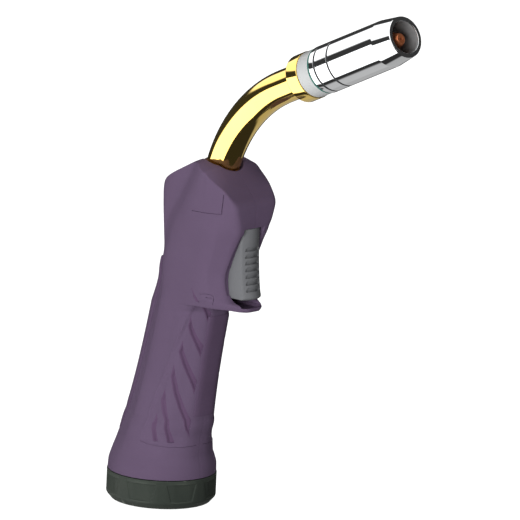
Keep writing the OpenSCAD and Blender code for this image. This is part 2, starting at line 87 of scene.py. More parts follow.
def finishPiece(name, mesh, finish, body, sharp=35, close=False):
    if close:
        work = bmesh.new()
        work.from_mesh(mesh)
        bmesh.ops.remove_doubles(work, verts=work.verts, dist=2e-6)
        bmesh.ops.recalc_face_normals(work, faces=work.faces)
        work.to_mesh(mesh)
        work.free()
    mesh.validate()
    for p in mesh.polygons:
        p.use_smooth = True
    mesh.set_sharp_from_angle(angle=math.radians(sharp))
    mesh.materials.clear()
    mesh.materials.append(finish)
    piece = bpy.data.objects.new(name, mesh)
    scene.collection.objects.link(piece)
    if body:
        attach(piece, body)
    return piece


# a closed outline of (x, y, fillet), each corner eased by its fillet
def roundedOutline(points, perCorner=4):
    out = []
    for i, (x, y, f) in enumerate(points):
        if f <= 0:
            out.append((x, y))
            continue
        p = np.array((x, y), float)
        a = np.array(points[i - 1][:2], float) - p
        b = np.array(points[(i + 1) % len(points)][:2], float) - p
        la, lb = np.linalg.norm(a), np.linalg.norm(b)
        half = math.acos(max(-1, min(1, float(a @ b) / (la * lb)))) / 2
        reach = min(f / math.tan(half), 0.49 * la, 0.49 * lb)
        u, v = p + a / la * reach, p + b / lb * reach
        for k in range(perCorner + 1):
            t = k / perCorner
            out.append(tuple((1 - t) ** 2 * u + 2 * t * (1 - t) * p + t * t * v))
    return out


nozzleLean = math.radians(63.5)
nozzleOrigin = np.array((80.0132, 0, 213.5231))
nozzleAxis = np.array((math.sin(nozzleLean), 0, math.cos(nozzleLean)))
nozzleSide = np.array((math.cos(nozzleLean), 0, -math.sin(nozzleLean)))
handleLean = math.radians(13.5)
neckFoot = np.array((29.7, 0, 159.3))
handleAxis = np.array((math.sin(handleLean), 0, math.cos(handleLean)))
handleSide = np.array((math.cos(handleLean), 0, -math.sin(handleLean)))
acrossY = np.array((0.0, 1.0, 0.0))


# a closed outline of (radius, length along the axis), turned on a lathe
def turned(name, outline, origin, axis, side, finish, body, around=112, sharp=28):
    points, faces = [], []
    n = len(outline)
    for i in range(around):
        a = 2 * math.pi * i / around
        out = math.cos(a) * side + math.sin(a) * np.cross(axis, side)
        points += [origin + out * r + axis * s for r, s in outline]
    for i in range(around):
        k = (i + 1) % around
        faces += [(i * n + j, k * n + j, k * n + (j + 1) % n, i * n + (j + 1) % n) for j in range(n)]
    return pieceFrom(name, points, faces, finish, body, sharp, close=True)


# adds a node; an input is given as a value or as the socket that feeds it
def node(tree, kind, inputs=None, **settings):
    made = tree.nodes.new(kind)
    for key, value in settings.items():
        setattr(made, key, value)
    for key, value in (inputs or {}).items():
        if isinstance(value, bpy.types.NodeSocket):
            tree.links.new(value, made.inputs[key])
        else:
            made.inputs[key].default_value = value
    return made


def calc(tree, operation, a, b=0.0, clamp=False):
    return node(tree, "ShaderNodeMath", {0: a, 1: b}, operation=operation, use_clamp=clamp).outputs[0]


# finishes

# colour drifts between two tones, with its own grain, roughness and relief; sizes in millimetres
def makeFinish(name, s):
    material = bpy.data.materials.new(name)
    material.use_nodes = True
    tree = material.node_tree
    tree.nodes.clear()
    out = node(tree, "ShaderNodeOutputMaterial")
    place = node(tree, "ShaderNodeTexCoord").outputs["Object"]
    if s.get("stretch"):  # brushed or drawn grain, finer across than along
        place = node(tree, "ShaderNodeMapping", {"Vector": place, "Rotation": s["turn"],
                                                 "Scale": s["stretch"]}).outputs[0]
    drift = node(tree, "ShaderNodeTexNoise", {"Vector": place, "Scale": 1000 / s["drift"], "Detail": 4.0,
                                              "Roughness": 0.6}).outputs[0]
    grain = node(tree, "ShaderNodeTexNoise", {"Vector": place, "Scale": 1000 / s["grain"], "Detail": 3.0,
                                              "Roughness": 0.55}).outputs[0]
    share = node(tree, "ShaderNodeMapRange", {0: drift, 1: 0.35, 2: 0.65, 3: 0.0, 4: 0.8}).outputs[0]
    share = calc(tree, "ADD", share, calc(tree, "MULTIPLY", calc(tree, "SUBTRACT", grain, 0.5), s["speckle"]), True)
    colour = node(tree, "ShaderNodeMix", {0: share, 6: (*s["light"], 1), 7: (*s["dark"], 1)}, data_type="RGBA")
    colour = colour.outputs[2]
    if s.get("paintedEdgeHighlight"):  # painted highlight: convex edges made paler by their pointiness
        edge = node(tree, "ShaderNodeNewGeometry").outputs["Pointiness"]
        edge = node(tree, "ShaderNodeMapRange", {0: edge, 1: s["edge"][0], 2: s["edge"][1], 3: 0.0, 4: s["edge"][2]})
        colour = node(tree, "ShaderNodeMix", {0: edge.outputs[0], 6: colour, 7: (*s["paintedEdgeHighlight"], 1)},
                      data_type="RGBA").outputs[2]
    rough = node(tree, "ShaderNodeMapRange", {0: grain, 1: 0.3, 2: 0.7, 3: s["rough"][0], 4: s["rough"][1]})
    relief = node(tree, "ShaderNodeBump", {"Height": grain, "Strength": s["relief"], "Distance": s["depth"] * mm})
    shader = node(tree, "ShaderNodeBsdfPrincipled", {
        "Base Color": colour, "Roughness": rough.outputs[0], "Normal": relief.outputs[0],
        "Metallic": s.get("metal", 0.0), "Specular IOR Level": s.get("specular", 0.5), "IOR": s.get("ior", 1.45),
        "Coat Weight": s.get("coat", 0.0), "Coat Roughness": 0.3})
    tree.links.new(shader.outputs[0], out.inputs["Surface"])
    return material


alongNozzle = (0.0, -nozzleLean, 0.0)
finishes = {
    "shell_plastic": makeFinish("purpleShellPlastic", {
        "light": (0.127, 0.088, 0.148), "dark": (0.115, 0.079, 0.134), "drift": 38, "grain": 0.42,
        "speckle": 0.5, "rough": (0.5, 0.62), "relief": 0.32, "depth": 0.035, "specular": 0.07}),
    # darker than the shell plastic to paint the shade on the fin floors, with a redder tint of their own
    "fin_shade_plastic": makeFinish("redderFinPlastic", {
        "light": (0.118, 0.071, 0.132), "dark": (0.107, 0.063, 0.12), "drift": 30, "grain": 0.5,
        "speckle": 0.5, "rough": (0.55, 0.68), "relief": 0.35, "depth": 0.04, "specular": 0.07}),
    "grip_rubber": makeFinish("purpleGripRubber", {
        "light": (0.112, 0.074, 0.129), "dark": (0.099, 0.065, 0.114), "drift": 22, "grain": 0.7, "speckle": 0.7,
        "rough": (0.72, 0.88), "relief": 0.45, "depth": 0.06, "specular": 0.09}),
    # the pale colour on the ring's edges is a painted highlight
    "ring_plastic": makeFinish("darkGreenRingPlastic", {
        "light": (0.042, 0.049, 0.041), "dark": (0.033, 0.04, 0.034), "paintedEdgeHighlight": (0.13, 0.15, 0.125),
        "edge": (0.52, 0.6, 0.8), "drift": 16, "grain": 0.38, "speckle": 0.6, "rough": (0.42, 0.56),
        "relief": 0.35, "depth": 0.03, "specular": 0.13}),
    "black_plastic": makeFinish("blackMouldedPlastic", {
        "light": (0.012, 0.012, 0.013), "dark": (0.008, 0.008, 0.009), "drift": 12, "grain": 0.35,
        "speckle": 0.5, "rough": (0.4, 0.55), "relief": 0.3, "depth": 0.03, "specular": 0.3}),
    # the pale colour on the trigger's edges is a painted highlight
    "trigger_plastic": makeFinish("greyTriggerPlastic", {
        "light": (0.158, 0.161, 0.17), "dark": (0.142, 0.145, 0.154), "paintedEdgeHighlight": (0.22, 0.223, 0.23),
        "edge": (0.53, 0.62, 0.35), "drift": 14, "grain": 0.36, "speckle": 0.5, "rough": (0.42, 0.55),
        "relief": 0.3, "depth": 0.03, "specular": 0.25}),
    "plunger_plastic": makeFinish("redPlungerPlastic", {
        "light": (0.28, 0.012, 0.01), "dark": (0.22, 0.01, 0.008), "drift": 4, "grain": 0.2, "speckle": 0.4,
        "rough": (0.3, 0.4), "relief": 0.2, "depth": 0.02, "specular": 0.4}),
    "seal_rubber": makeFinish("blackSealRubber", {
        "light": (0.016, 0.016, 0.016), "dark": (0.01, 0.01, 0.01), "drift": 5, "grain": 0.25, "speckle": 0.5,
        "rough": (0.6, 0.75), "relief": 0.3, "depth": 0.02, "specular": 0.3}),
    "teal_seal": makeFinish("tealSealRubber", {
        "light": (0.05, 0.17, 0.14), "dark": (0.035, 0.13, 0.105), "drift": 8, "grain": 0.25, "speckle": 0.4,
        "rough": (0.45, 0.6), "relief": 0.25, "depth": 0.02, "specular": 0.3}),
    "white_insulator": makeFinish("ivoryInsulatorPlastic", {
        "light": (0.6, 0.615, 0.615), "dark": (0.545, 0.56, 0.56), "drift": 12, "grain": 0.4, "speckle": 0.35,
        "rough": (0.38, 0.5), "relief": 0.22, "depth": 0.02, "specular": 0.3}),
    "screw_steel": makeFinish("plainScrewSteel", {
        "light": (0.5, 0.51, 0.53), "dark": (0.4, 0.41, 0.43), "drift": 3, "grain": 0.22, "speckle": 0.5,
        "rough": (0.24, 0.36), "relief": 0.2, "depth": 0.01, "metal": 1.0}),
    "bare_brass": makeFinish("turnedBrass", {
        "light": (0.75, 0.5, 0.18), "dark": (0.6, 0.38, 0.12), "drift": 9, "grain": 0.5, "speckle": 0.5,
        "rough": (0.2, 0.34), "relief": 0.25, "depth": 0.012, "metal": 1.0,
        "turn": alongNozzle, "stretch": (1, 1, 6)}),
    "polished_brass": makeFinish("polishedNeckBrass", {
        "light": (1.0, 0.72, 0.2), "dark": (0.96, 0.67, 0.175), "drift": 26, "grain": 0.9, "speckle": 0.25,
        "rough": (0.045, 0.075), "relief": 0.05, "depth": 0.004, "metal": 1.0}),
    "copper": makeFinish("brightTipCopper", {
        "light": (0.72, 0.24, 0.1), "dark": (0.58, 0.17, 0.065), "drift": 5, "grain": 0.35, "speckle": 0.4,
        "rough": (0.2, 0.32), "relief": 0.2, "depth": 0.01, "metal": 0.6,
        "turn": alongNozzle, "stretch": (1, 1, 5)}),
    # near-black steel for the rings set in the nozzle's grooves: painted shade
    "groove_steel": makeFinish("shadowedGrooveSteel", {
        "light": (0.045, 0.048, 0.05), "dark": (0.03, 0.032, 0.034), "drift": 4, "grain": 0.3, "speckle": 0.5,
        "rough": (0.5, 0.65), "relief": 0.2, "depth": 0.01, "metal": 0.6}),
    "bore_steel": makeFinish("satinBoreSteel", {
        "light": (0.3, 0.302, 0.305), "dark": (0.22, 0.222, 0.225), "drift": 6, "grain": 0.45, "speckle": 0.6,
        "rough": (0.42, 0.6), "relief": 0.35, "depth": 0.02, "metal": 0.3}),
    "nozzle_chrome": makeFinish("brightNozzleChrome", {
        "light": (0.86, 0.87, 0.88), "dark": (0.82, 0.83, 0.84), "drift": 24, "grain": 0.8, "speckle": 0.25,
        "rough": (0.04, 0.065), "relief": 0.04, "depth": 0.004, "metal": 1.0}),
}
print("finishes made:", len(finishes))


# handle: the skin's level sections

handle = {
    "ringTop": 14.0, "tailRadius": 25.15, "spigotRadius": 21.5, "spigotFoot": 5.7, "tailBore": 18.2,
    "flareStart": 24.0, "lean": 11.3, "halfDepth": 18.4, "halfWidth": 15.4, "wall": 2.4, "ceiling": 146.0,
    "flare": [(0, 1), (4, 0.97), (7, 0.82), (10, 0.62), (14, 0.44), (18, 0.31), (23, 0.2), (28, 0)],
    "swell": [(30, 3.0), (42, 2.5), (50, 1.8), (60, 1.1), (74, 0.5), (92, 0.1), (100, 0.0)],
    # height, rear x, front x, spine half width, spine end x, side half width, side start x, side end x,
    # front half width, share of faceted against round
    "head": [
        (98.3, -2.2, 34.6, 9.2, 3, 15.63, 8, 30, 6, 0.7), (98.9, -1.8, 55.0, 9.2, 3, 15.65, 8, 34, 5, 0.8),
        (100.9, -1.1, 55.8, 9.3, 3.2, 15.72, 8.5, 35, 5.4, 0.85), (103.1, 0.1, 48.2, 9.5, 3.6, 15.8, 9, 36, 9, 0.9),
        (105.5, 1.3, 45.6, 9.6, 4, 15.87, 9.4, 36, 9.2, 0.9), (113.7, 3.2, 44.2, 10, 5, 16.15, 10.6, 36, 9.4, 1),
        (122, 5.8, 46.6, 10.8, 6.4, 16.43, 13, 38, 9.2, 1), (130, 4.9, 49.8, 11.4, 7.6, 16.7, 16.8, 40, 9.4, 1),
        (137.6, 3.6, 52.9, 11.8, 9.8, 16.9, 20.3, 42, 10, 1), (142, 2.8, 53.6, 12, 12.4, 17, 22.6, 41, 11.6, 1),
        (149, 1.9, 53.6, 12, 16.6, 17, 26, 39.4, 13.6, 1), (157, 3.2, 53.6, 12, 21, 17, 30, 39, 13.6, 1),
        (168, 6, 53.6, 12, 26, 17, 34, 39, 13.6, 1)],
    "cornerCuts": (0, 0.46, 0.3, 0.3, 0.44, 0.42, 0), "headCuts": (0, 0.5, 0.14, 0.46, 0.3, 0.2, 0),
    "roof": [(-20, 141), (1.2, 146.4), (2.1, 149.1), (3.0, 151.2), (4.3, 153.0), (6.2, 154.8), (8.6, 156.6), (11.6, 158.5), (23.5, 165.2), (28.4, 166.6), (36.2, 164.8),
             (46.8, 156.4), (53.6, 149.6), (70, 130)],
    "slotHalf": 6.55, "slotFloor": 100.9, "slotTop": 138.1,
    "rowStep": 0.62, "columnStep": 0.62, "frontRise": 1.15,
    "recessRadius": 9.4, "recessDepth": 4.2, "holeRadius": 8.2,
}


# from 0 to 1 with soft ends
def eased(t):
    t = np.clip(t, 0, 1)
    return t * t * (3 - 2 * t)


# a smooth curve through points that never overshoots them
def steady(xs, ys):
    xs, ys = np.array(xs, float), np.array(ys, float)
    h, d = np.diff(xs), np.diff(ys) / np.diff(xs)
    m = np.zeros(len(xs))
    m[0], m[-1] = d[0], d[-1]
    for i in range(1, len(xs) - 1):
        if d[i - 1] * d[i] > 0:
            a, b = 2 * h[i] + h[i - 1], h[i] + 2 * h[i - 1]
            m[i] = (a + b) / (a / d[i - 1] + b / d[i])

    def at(x):
        x = np.clip(np.asarray(x, float), xs[0], xs[-1])
        i = np.clip(np.searchsorted(xs, x) - 1, 0, len(xs) - 2)
        t = (x - xs[i]) / h[i]
        return ((1 + 2 * t) * (1 - t) ** 2 * ys[i] + t * (1 - t) ** 2 * h[i] * m[i]
                + t * t * (3 - 2 * t) * ys[i + 1] + t * t * (t - 1) * h[i] * m[i + 1])
    return at


flareAt = steady(*zip(*handle["flare"]))
swellAt = steady(*zip(*handle["swell"]))
headAt = [steady([r[0] for r in handle["head"][1:]], [r[i] for r in handle["head"][1:]]) for i in range(1, 10)]


# rear x, front x, spine half width, spine end x, side half width, side start, side end, front half, share
def sectionSizes(z):
    first, second = handle["head"][0], handle["head"][1]
    if z >= second[0]:
        return np.array([float(f(z)) for f in headAt])
    if z >= first[0]:
        t = (z - first[0]) / (second[0] - first[0])
        return np.array(first[1:]) * (1 - t) + np.array(second[1:]) * t
    low = min(z, 94.5)
    centre = max(0.0, low - handle["flareStart"]) * math.tan(math.radians(handle["lean"]))
    share = float(flareAt(low - handle["ringTop"]))
    a, b = [g + (handle["tailRadius"] - g) * share
            for g in (handle["halfDepth"] + float(swellAt(low)), handle["halfWidth"] + float(swellAt(low)))]
    facet = 0.7 * float(np.interp(low, [14, 18, 21, 24, 28, 32, 37, 42, 50, 60, 74, 88, 94.5], np.arange(13) / 13))
    sizes = np.array([centre - a, centre + a, b * 0.55, centre - a * 0.62, b, centre - a * 0.42, centre + a * 0.45,
                      b * 0.45, facet])
    if z > low:
        t = (z - low) / (first[0] - low)
        sizes = sizes * (1 - t) + np.array(first[1:]) * t
    return sizes


# a point of the half section, u from 0 at the rear's middle to 21 at the front's middle
def sectionPoint(q, u):
    c = np.array([(q[0], 0), (q[0], q[2]), (q[3], q[2] + 0.5), (q[5], q[4]), (q[6], q[4]), (q[1], q[7]), (q[1], 0)])
    head = min(1.0, max(0.0, (q[0] + 2.2) / 3.5)) if q[8] >= 0.7 else 0.0
    cut = [a + (b - a) * head for a, b in zip(handle["cornerCuts"], handle["headCuts"])]

    def entry(i):
        return c[i] + (c[i - 1] - c[i]) * cut[i]

    def leave(i):
        return c[i] + (c[i + 1] - c[i]) * cut[i]
    if u <= 1:
        p = c[0] + (entry(1) - c[0]) * u
    elif u >= 20:
        p = leave(5) + (c[6] - leave(5)) * (u - 20)
    else:
        i = int((u - 1) // 4) + 1
        r = (u - 1) - 4 * (i - 1)
        if r <= 3:
            t = r / 3
            p = (1 - t) ** 2 * entry(i) + 2 * t * (1 - t) * c[i] + t * t * leave(i)
        else:
            p = leave(i) + (entry(i + 1) - leave(i)) * (r - 3)
    w = math.pi * (1 - u / 21)
    circle = np.array([(q[0] + q[1]) / 2 + (q[1] - q[0]) / 2 * math.cos(w), q[4] * math.sin(w)])
    return p * q[8] + circle * (1 - q[8])


# where the section crosses the trigger slot's side
def splitAt(q):
    lo, hi = 16.0, 21.0
    for _ in range(26):
        m = (lo + hi) / 2
        if sectionPoint(q, m)[1] > handle["slotHalf"]:
            lo = m
        else:
            hi = m
    return (lo + hi) / 2


# how many columns each stretch of the section gets, from a section halfway up
def columnPlan():
    q = sectionSizes(112.0)
    stops = [0, 1, 4, 5, 8, 9, 12, 13, 16, 17]
    plan = []
    for a, b in zip(stops, stops[1:] + [splitAt(q)]):
        length = sum(np.linalg.norm(sectionPoint(q, a + (b - a) * (k + 1) / 20) - sectionPoint(q, a + (b - a) * k / 20))
                     for k in range(20))
        plan.append(max(3, round(length / handle["columnStep"])))
    return stops, plan + [round(handle["slotHalf"] / handle["columnStep"])]


columnStops, columnCounts = columnPlan()
splitColumn = sum(columnCounts[:-1])
columnTotal = sum(columnCounts) + 1


def sectionLine(q):
    s = splitAt(q)
    stops = columnStops + [s, 21.0]
    stops[-3] = min(stops[-3], s - 0.05)
    us = [stops[0]]
    for a, b, n in zip(stops, stops[1:], columnCounts):
        us += [a + (b - a) * (k + 1) / n for k in range(n)]
    return np.array([sectionPoint(q, u) for u in us])


roofX, roofZ = zip(*handle["roof"])
fineX = np.arange(-20, 70, 0.1)
fineZ = np.interp(fineX, roofX, roofZ)
fineZ = np.convolve(np.pad(fineZ, 9, mode="edge"), np.ones(19) / 19, mode="valid")


def roofAt(x, y):
    crown = 1.0 - 3.0 * (np.abs(y) / 17) ** 3
    fade = np.clip((50 - np.asarray(x)) / 12, 0, 1)
    return np.interp(x, fineX, fineZ) + crown * fade * fade * (3 - 2 * fade)


headTable = {z: sectionLine(sectionSizes(float(z))) for z in range(138, 169)}


def headLine(z):
    z = np.clip(z, 138.0, 167.999)
    low = np.floor(z).astype(int)
    t = (z - low)[:, None]
    j = np.arange(columnTotal)
    a = np.array([headTable[k][i] for k, i in zip(low, j)])
    b = np.array([headTable[k + 1][i] for k, i in zip(low, j)])
    return a * (1 - t) + b * t


# where a spoke of the neck's recess, at angle way round the leaning axis, meets the roof
def onRecess(radius, way, depth=None):
    spoke = math.cos(way) * handleSide + math.sin(way) * acrossY
    t = depth
    if depth is None:
        lo, hi = 0.0, 16.0
        for _ in range(30):
            t = (lo + hi) / 2
            p = neckFoot + spoke * radius + handleAxis * t
            lo, hi = (t, hi) if p[2] < roofAt(p[0], p[1]) else (lo, t)
    return neckFoot + spoke * radius + handleAxis * t


# rows of outer points from the spigot up the wall, over the roof and down the neck's recess, and the inner wall's
def skinRows():
    s = handle
    outer, inner = [], []
    bore = sectionLine(np.append(sectionSizes(14.0)[:8], 0.0)) / s["tailRadius"]

    def inset(line, q):
        m, a, b = (q[0] + q[1]) / 2, (q[1] - q[0]) / 2, q[4]
        x = m + (line[:, 0] - m) * (a - s["wall"]) / a
        g = np.clip((line[:, 1] / b - 0.45) / 0.35, 0, 1)
        return np.column_stack([x, line[:, 1] * (1 - s["wall"] / b * g * g * (3 - 2 * g))])

    count = np.arange(columnTotal)
    frontShare = eased((count - splitColumn + 38) / 18)
    cornerShare = eased((count - splitColumn + 34) / 12)

    def outwards(line):
        along = np.gradient(line, axis=0)
        n = np.column_stack([-along[:, 1], along[:, 0]])
        n = n * np.sign(n[len(n) // 2, 1])
        n[[0, -1], 1] = 0
        return n / np.linalg.norm(n, axis=1, keepdims=True)

    def level(line, z, within):
        outer.append(np.column_stack([line, np.full(columnTotal, z)]))
        inner.append(np.column_stack([within, np.full(columnTotal, z)]))
    for radius, z in ((s["spigotRadius"] - 0.4, s["spigotFoot"]), (s["spigotRadius"], s["spigotFoot"] + 0.4),
                      (s["spigotRadius"], s["ringTop"]), (s["tailRadius"] - 0.35, s["ringTop"]),
                      (s["tailRadius"] - 0.08, s["ringTop"] + 0.12), (s["tailRadius"], s["ringTop"] + 0.4)):
        level(bore * radius, z, bore * s["tailBore"])
    levels = list(np.arange(15.0, 97.8, s["rowStep"])) + [97.95, 98.3, 98.5, 98.7, 98.82, 98.9, 98.98, 99.1, 99.3, 99.6]
    levels += [99.9, 100.15, 100.4, 100.65, s["slotFloor"]]
    levels += list(np.arange(101.2, 106.2, 0.35)) + list(np.linspace(106.5, s["slotTop"], 52))
    low, high = sectionSizes(94.5), sectionSizes(105.5)
    for z in levels:
        q = sectionSizes(z)
        if 98.85 < z < 99.8:  # the guard's lower edge is eased
            q[1] -= 0.5 * (1 - math.sqrt(max(0.0, 1 - ((99.8 - z) / 0.95) ** 2)))
        line = sectionLine(q)
        t = (z - 94.5) / 11.0
        within = low * (1 - t) + high * t if 0 < t < 1 else q
        if 0 < t < 1:  # the guard's step belongs to the front only
            plain = sectionLine(within)
            line = plain + (line - plain) * frontShare[:, None]
        room = inset(plain if 0 < t < 1 else line, within)
        full = np.clip((z - 33.5) / 7, 0, 1) * np.clip((96 - z) / 5, 0, 1)
        line = line + outwards(line) * (s["frontRise"] * full * full * (3 - 2 * full) * cornerShare)[:, None]
        if z < 17.5:
            room = bore * s["tailBore"] + (inset(line, q) - bore * s["tailBore"]) * max(0, (z - 16) / 1.5)
        level(line, z, room)
    slot = (next(i for i, r in enumerate(outer) if abs(r[0, 2] - s["slotFloor"]) < 1e-6), len(outer) - 1)

    # the head's wall, up to where each column meets the roof
    lo, hi = np.full(columnTotal, s["slotTop"]), np.full(columnTotal, 167.9)
    for _ in range(26):
        m = (lo + hi) / 2
        p = headLine(m)
        under = m < roofAt(p[:, 0], p[:, 1])
        lo, hi = np.where(under, m, lo), np.where(under, hi, m)
    top = (lo + hi) / 2
    edge = np.column_stack([headLine(top), top])
    nose = np.clip((edge[:, 0] - 40) / 12, 0, 1)
    ease = 0.6 + 1.6 * nose * nose
    ceilingLine = inset(headLine(np.full(columnTotal, s["ceiling"])), sectionSizes(s["ceiling"]))
    wallRows = 44
    for i in range(1, wallRows + 1):
        z = s["slotTop"] + (top - ease - s["slotTop"]) * i / wallRows
        outer.append(np.column_stack([headLine(z), z]))
        zi = s["slotTop"] + (s["ceiling"] - s["slotTop"]) * i / wallRows
        line = headLine(np.full(columnTotal, zi))
        inner.append(np.column_stack([inset(line, sectionSizes(zi)), np.full(columnTotal, zi)]))
    below = outer[-1]

    # over the eased edge and across the roof to the recess round the neck
    centre = onRecess(0.0, 0.0)
    way = np.arctan2(edge[:, 1], edge[:, 0] - centre[0])
    rim = np.array([onRecess(s["recessRadius"], a) for a in way])
    across = rim[:, :2] - edge[:, :2]
    span = np.linalg.norm(across, axis=1)

    def roofPoint(t):
        xy = edge[:, :2] + across * t[:, None]
        return np.column_stack([xy, roofAt(xy[:, 0], xy[:, 1])])
    start = roofPoint(ease / span)
    rest = []
    for k in range(1, 6):
        t = k / 5
        rest.append((1 - t) ** 2 * below + 2 * t * (1 - t) * edge + t * t * start)
    for k in range(1, 31):
        rest.append(roofPoint(ease / span + (1 - 0.35 / span - ease / span) * k / 30))
    mouth = [(s["recessRadius"] - 0.1, 0.12), (s["recessRadius"] - 0.3, 0.45)]
    rest += [np.array([onRecess(r, a) - handleAxis * d for a in way]) for r, d in mouth]
    foot = [(s["recessRadius"] - 0.35, s["recessDepth"] + 0.3), (s["recessRadius"] - 0.6, s["recessDepth"]),
            (s["holeRadius"] + 0.3, s["recessDepth"]), (s["holeRadius"], s["recessDepth"] - 0.3),
            (s["holeRadius"], -1.0), (10.1, -1.0)]
    rest += [np.array([onRecess(r, a, t) for a in way]) for r, t in foot]
    drop = (s["ceiling"] - neckFoot[2]) / handleAxis[2]
    lip = np.array([onRecess(10.1, a, drop + math.cos(a) * 10.1 * math.tan(handleLean)) for a in way])
    lip[:, 2] = s["ceiling"]
    start = np.column_stack([ceilingLine, np.full(columnTotal, s["ceiling"])])
    for k, row in enumerate(rest):
        outer.append(row)
        inner.append(start + (lip - start) * (k + 1) / len(rest))
    return np.array(outer), np.array(inner), slot


# outward normals of a grid of points
def gridNormals(g):
    across = np.gradient(g, axis=1)
    up = np.gradient(g, axis=0)
    n = np.cross(up, across)
    return n / np.maximum(np.linalg.norm(n, axis=2, keepdims=True), 1e-9)


# a closed wall between two grids of points, over the cells that mask keeps
def wallBetween(outer, inner, mask, flip):
    rows, columns = outer.shape[:2]
    far = rows * columns
    faces, edges = [], {}
    for i, j in zip(*np.nonzero(mask)):
        a, b, c, d = i * columns + j, i * columns + j + 1, (i + 1) * columns + j + 1, (i + 1) * columns + j
        faces.append((a, b, c, d))
        faces.append((far + d, far + c, far + b, far + a))
        for e in ((a, b), (b, c), (c, d), (d, a)):
            if (e[1], e[0]) in edges:
                del edges[(e[1], e[0])]
            else:
                edges[e] = True
    faces += [(b, a, far + a, far + b) for a, b in edges]
    if flip:
        faces = [f[::-1] for f in faces]
    points = np.concatenate([outer.reshape(-1, 3), inner.reshape(-1, 3)])
    used = np.zeros(len(points), bool)
    used[np.array(faces).ravel()] = True
    index = np.cumsum(used) - 1
    return points[used], [tuple(index[list(f)]) for f in faces]


outerRows, innerRows, slotRows = skinRows()
print("handle skin:", outerRows.shape[0], "rows of", outerRows.shape[1], "points; slot rows", slotRows)

# handle: cut-ins, lines and the panel on its sides, as (length round from the spine, height)
sideMarks = {
    "fins": [
        ([(40.6, 93.4), (40.4, 88.0), (42.1, 84.6), (45.1, 80.1), (47.8, 76.1), (49.7, 73.1)],
         [(40.6, 93.4), (42.4, 88.7), (45.1, 84.3), (47.8, 81.1), (50.1, 78.8), (49.7, 73.1)]),
        ([(39.5, 80.8), (38.9, 75.2), (42.3, 69.3), (45.7, 64.5), (49.2, 59.7), (52.1, 55.0)],
         [(39.5, 80.8), (41.2, 76.1), (44.1, 71.3), (47.6, 66.5), (51.6, 61.5), (52.1, 55.0)]),
        ([(38.2, 69.0), (38.2, 63.0), (42.5, 55.0), (46.9, 48.5), (52.7, 41.3), (60.3, 33.7)],
         [(38.2, 69.0), (40.7, 63.6), (44.3, 56.7), (49.6, 49.2), (55.8, 42.1), (60.3, 33.7)]),
        ([(37.3, 56.8), (36.9, 51.2), (39.8, 46.0), (45.2, 39.1), (50.6, 31.5)],
         [(37.3, 56.8), (40.0, 51.0), (44.3, 43.3), (54.2, 31.5)]),
        ([(37.2, 44.8), (37.9, 39.7), (41.2, 35.4), (43.7, 31.7)],
         [(37.2, 44.8), (41.0, 39.2), (46.2, 31.7)]),
        ([(38.2, 107.4), (40.4, 103.4), (42.4, 101.2)], [(38.2, 107.4), (41.6, 103.8), (44.4, 101.2)]),
        ([(44.8, 97.6), (45.9, 95.4), (49.3, 90.2)], [(46.8, 97.6), (47.0, 97.2), (50.2, 94.6), (49.3, 90.2)]),
    ],
    "finDepth": 0.95, "finRamp": 1.7, "shadeSheetProud": 0.05, "shadeSheetDeep": 0.16,
    "panel": [(40.6, 97.7), (39.6, 94.1), (38.4, 87.8), (37.1, 82.0), (36.1, 75.6), (34.8, 64.1), (33.5, 53.8),
              (33.7, 44.9), (36.2, 35.8), (37.6, 31.0)],
    "panelFoot": [(37.6, 31.0), (41.6, 30.2), (46.9, 29.8), (53.1, 29.4), (60.0, 29.6), (66.5, 30.0)],
    "panelDepth": 0.42, "ridge": 0.2,
    "lines": [
        ([(62.9, 154.6), (60.5, 151.7), (57.8, 148.1), (56.1, 145.3)], 0.34, 0.6),
        ([(56.2, 145.3), (46.4, 144.6), (37.2, 144.0)], 0.34, 0.6),
        ([(43.4, 105.4), (46.5, 106.0), (48.6, 105.9), (50.2, 105.3), (51.3, 103.4), (51.5, 101.2)], 0.26, 0.4),
        ([(47.0, 104.3), (50.0, 104.4)], 0.4, 0.5),
        ([(37.6, 31.0), (41.6, 30.2), (46.9, 29.8), (53.1, 29.4), (60.0, 29.6), (66.5, 30.0)], 0.24, 0.35),
    ],
}


girthAt = np.zeros(outerRows.shape[:2])
girthAt[:, 1:] = np.cumsum(np.linalg.norm(np.diff(outerRows, axis=1), axis=2), axis=1)


# the raised border's panel: how deep each point of the skin is let in
def letIn():
    s = sideMarks
    g, z = girthAt.ravel(), outerRows[:, :, 2].ravel()
    panel, foot = np.array(s["panel"])[::-1], np.array(s["panelFoot"])
    edge = np.interp(z, panel[:, 1], panel[:, 0])
    base = np.interp(g, foot[:, 0], foot[:, 1])
    far = girthAt[:, -1:].repeat(columnTotal, axis=1).ravel()
    within = eased((g - edge) / 1.2) * eased((z - base) / 0.7) * eased((106 - z) / 10) * eased((far - g - 7) / 6)
    ridge = np.exp(-((g - edge + 0.3) / 0.7) ** 2) * eased((z - 31) / 3) * eased((98 - z) / 6)
    return (s["panelDepth"] * within - s["ridge"] * ridge).reshape(girthAt.shape)


depthAt = letIn()
normalAt = gridNormals(outerRows)
carved = outerRows - normalAt * depthAt[:, :, None]
cells = np.ones((outerRows.shape[0] - 1, columnTotal - 1), bool)
cells[slotRows[0]:slotRows[1], splitColumn:] = False

wallRow = slotRows[1] + 44
markPlaces = np.column_stack([girthAt[6:wallRow].ravel(), outerRows[6:wallRow, :, 2].ravel()])
markSkin = np.column_stack([carved[6:wallRow].reshape(-1, 3), normalAt[6:wallRow].reshape(-1, 3)])


# the skin's points and normals at places given as (length round from the spine, height)
def onSkin(places):
    found = []
    for place in np.asarray(places, float):
        away = ((markPlaces - place) ** 2).sum(axis=1)
        near = np.argpartition(away, 11)[:11]
        local = np.column_stack([markPlaces[near] - place, np.ones(11)])
        found.append(np.linalg.lstsq(local, markSkin[near], rcond=None)[0][2])
    found = np.array(found)
    return found[:, :3], found[:, 3:] / np.linalg.norm(found[:, 3:], axis=1, keepdims=True)
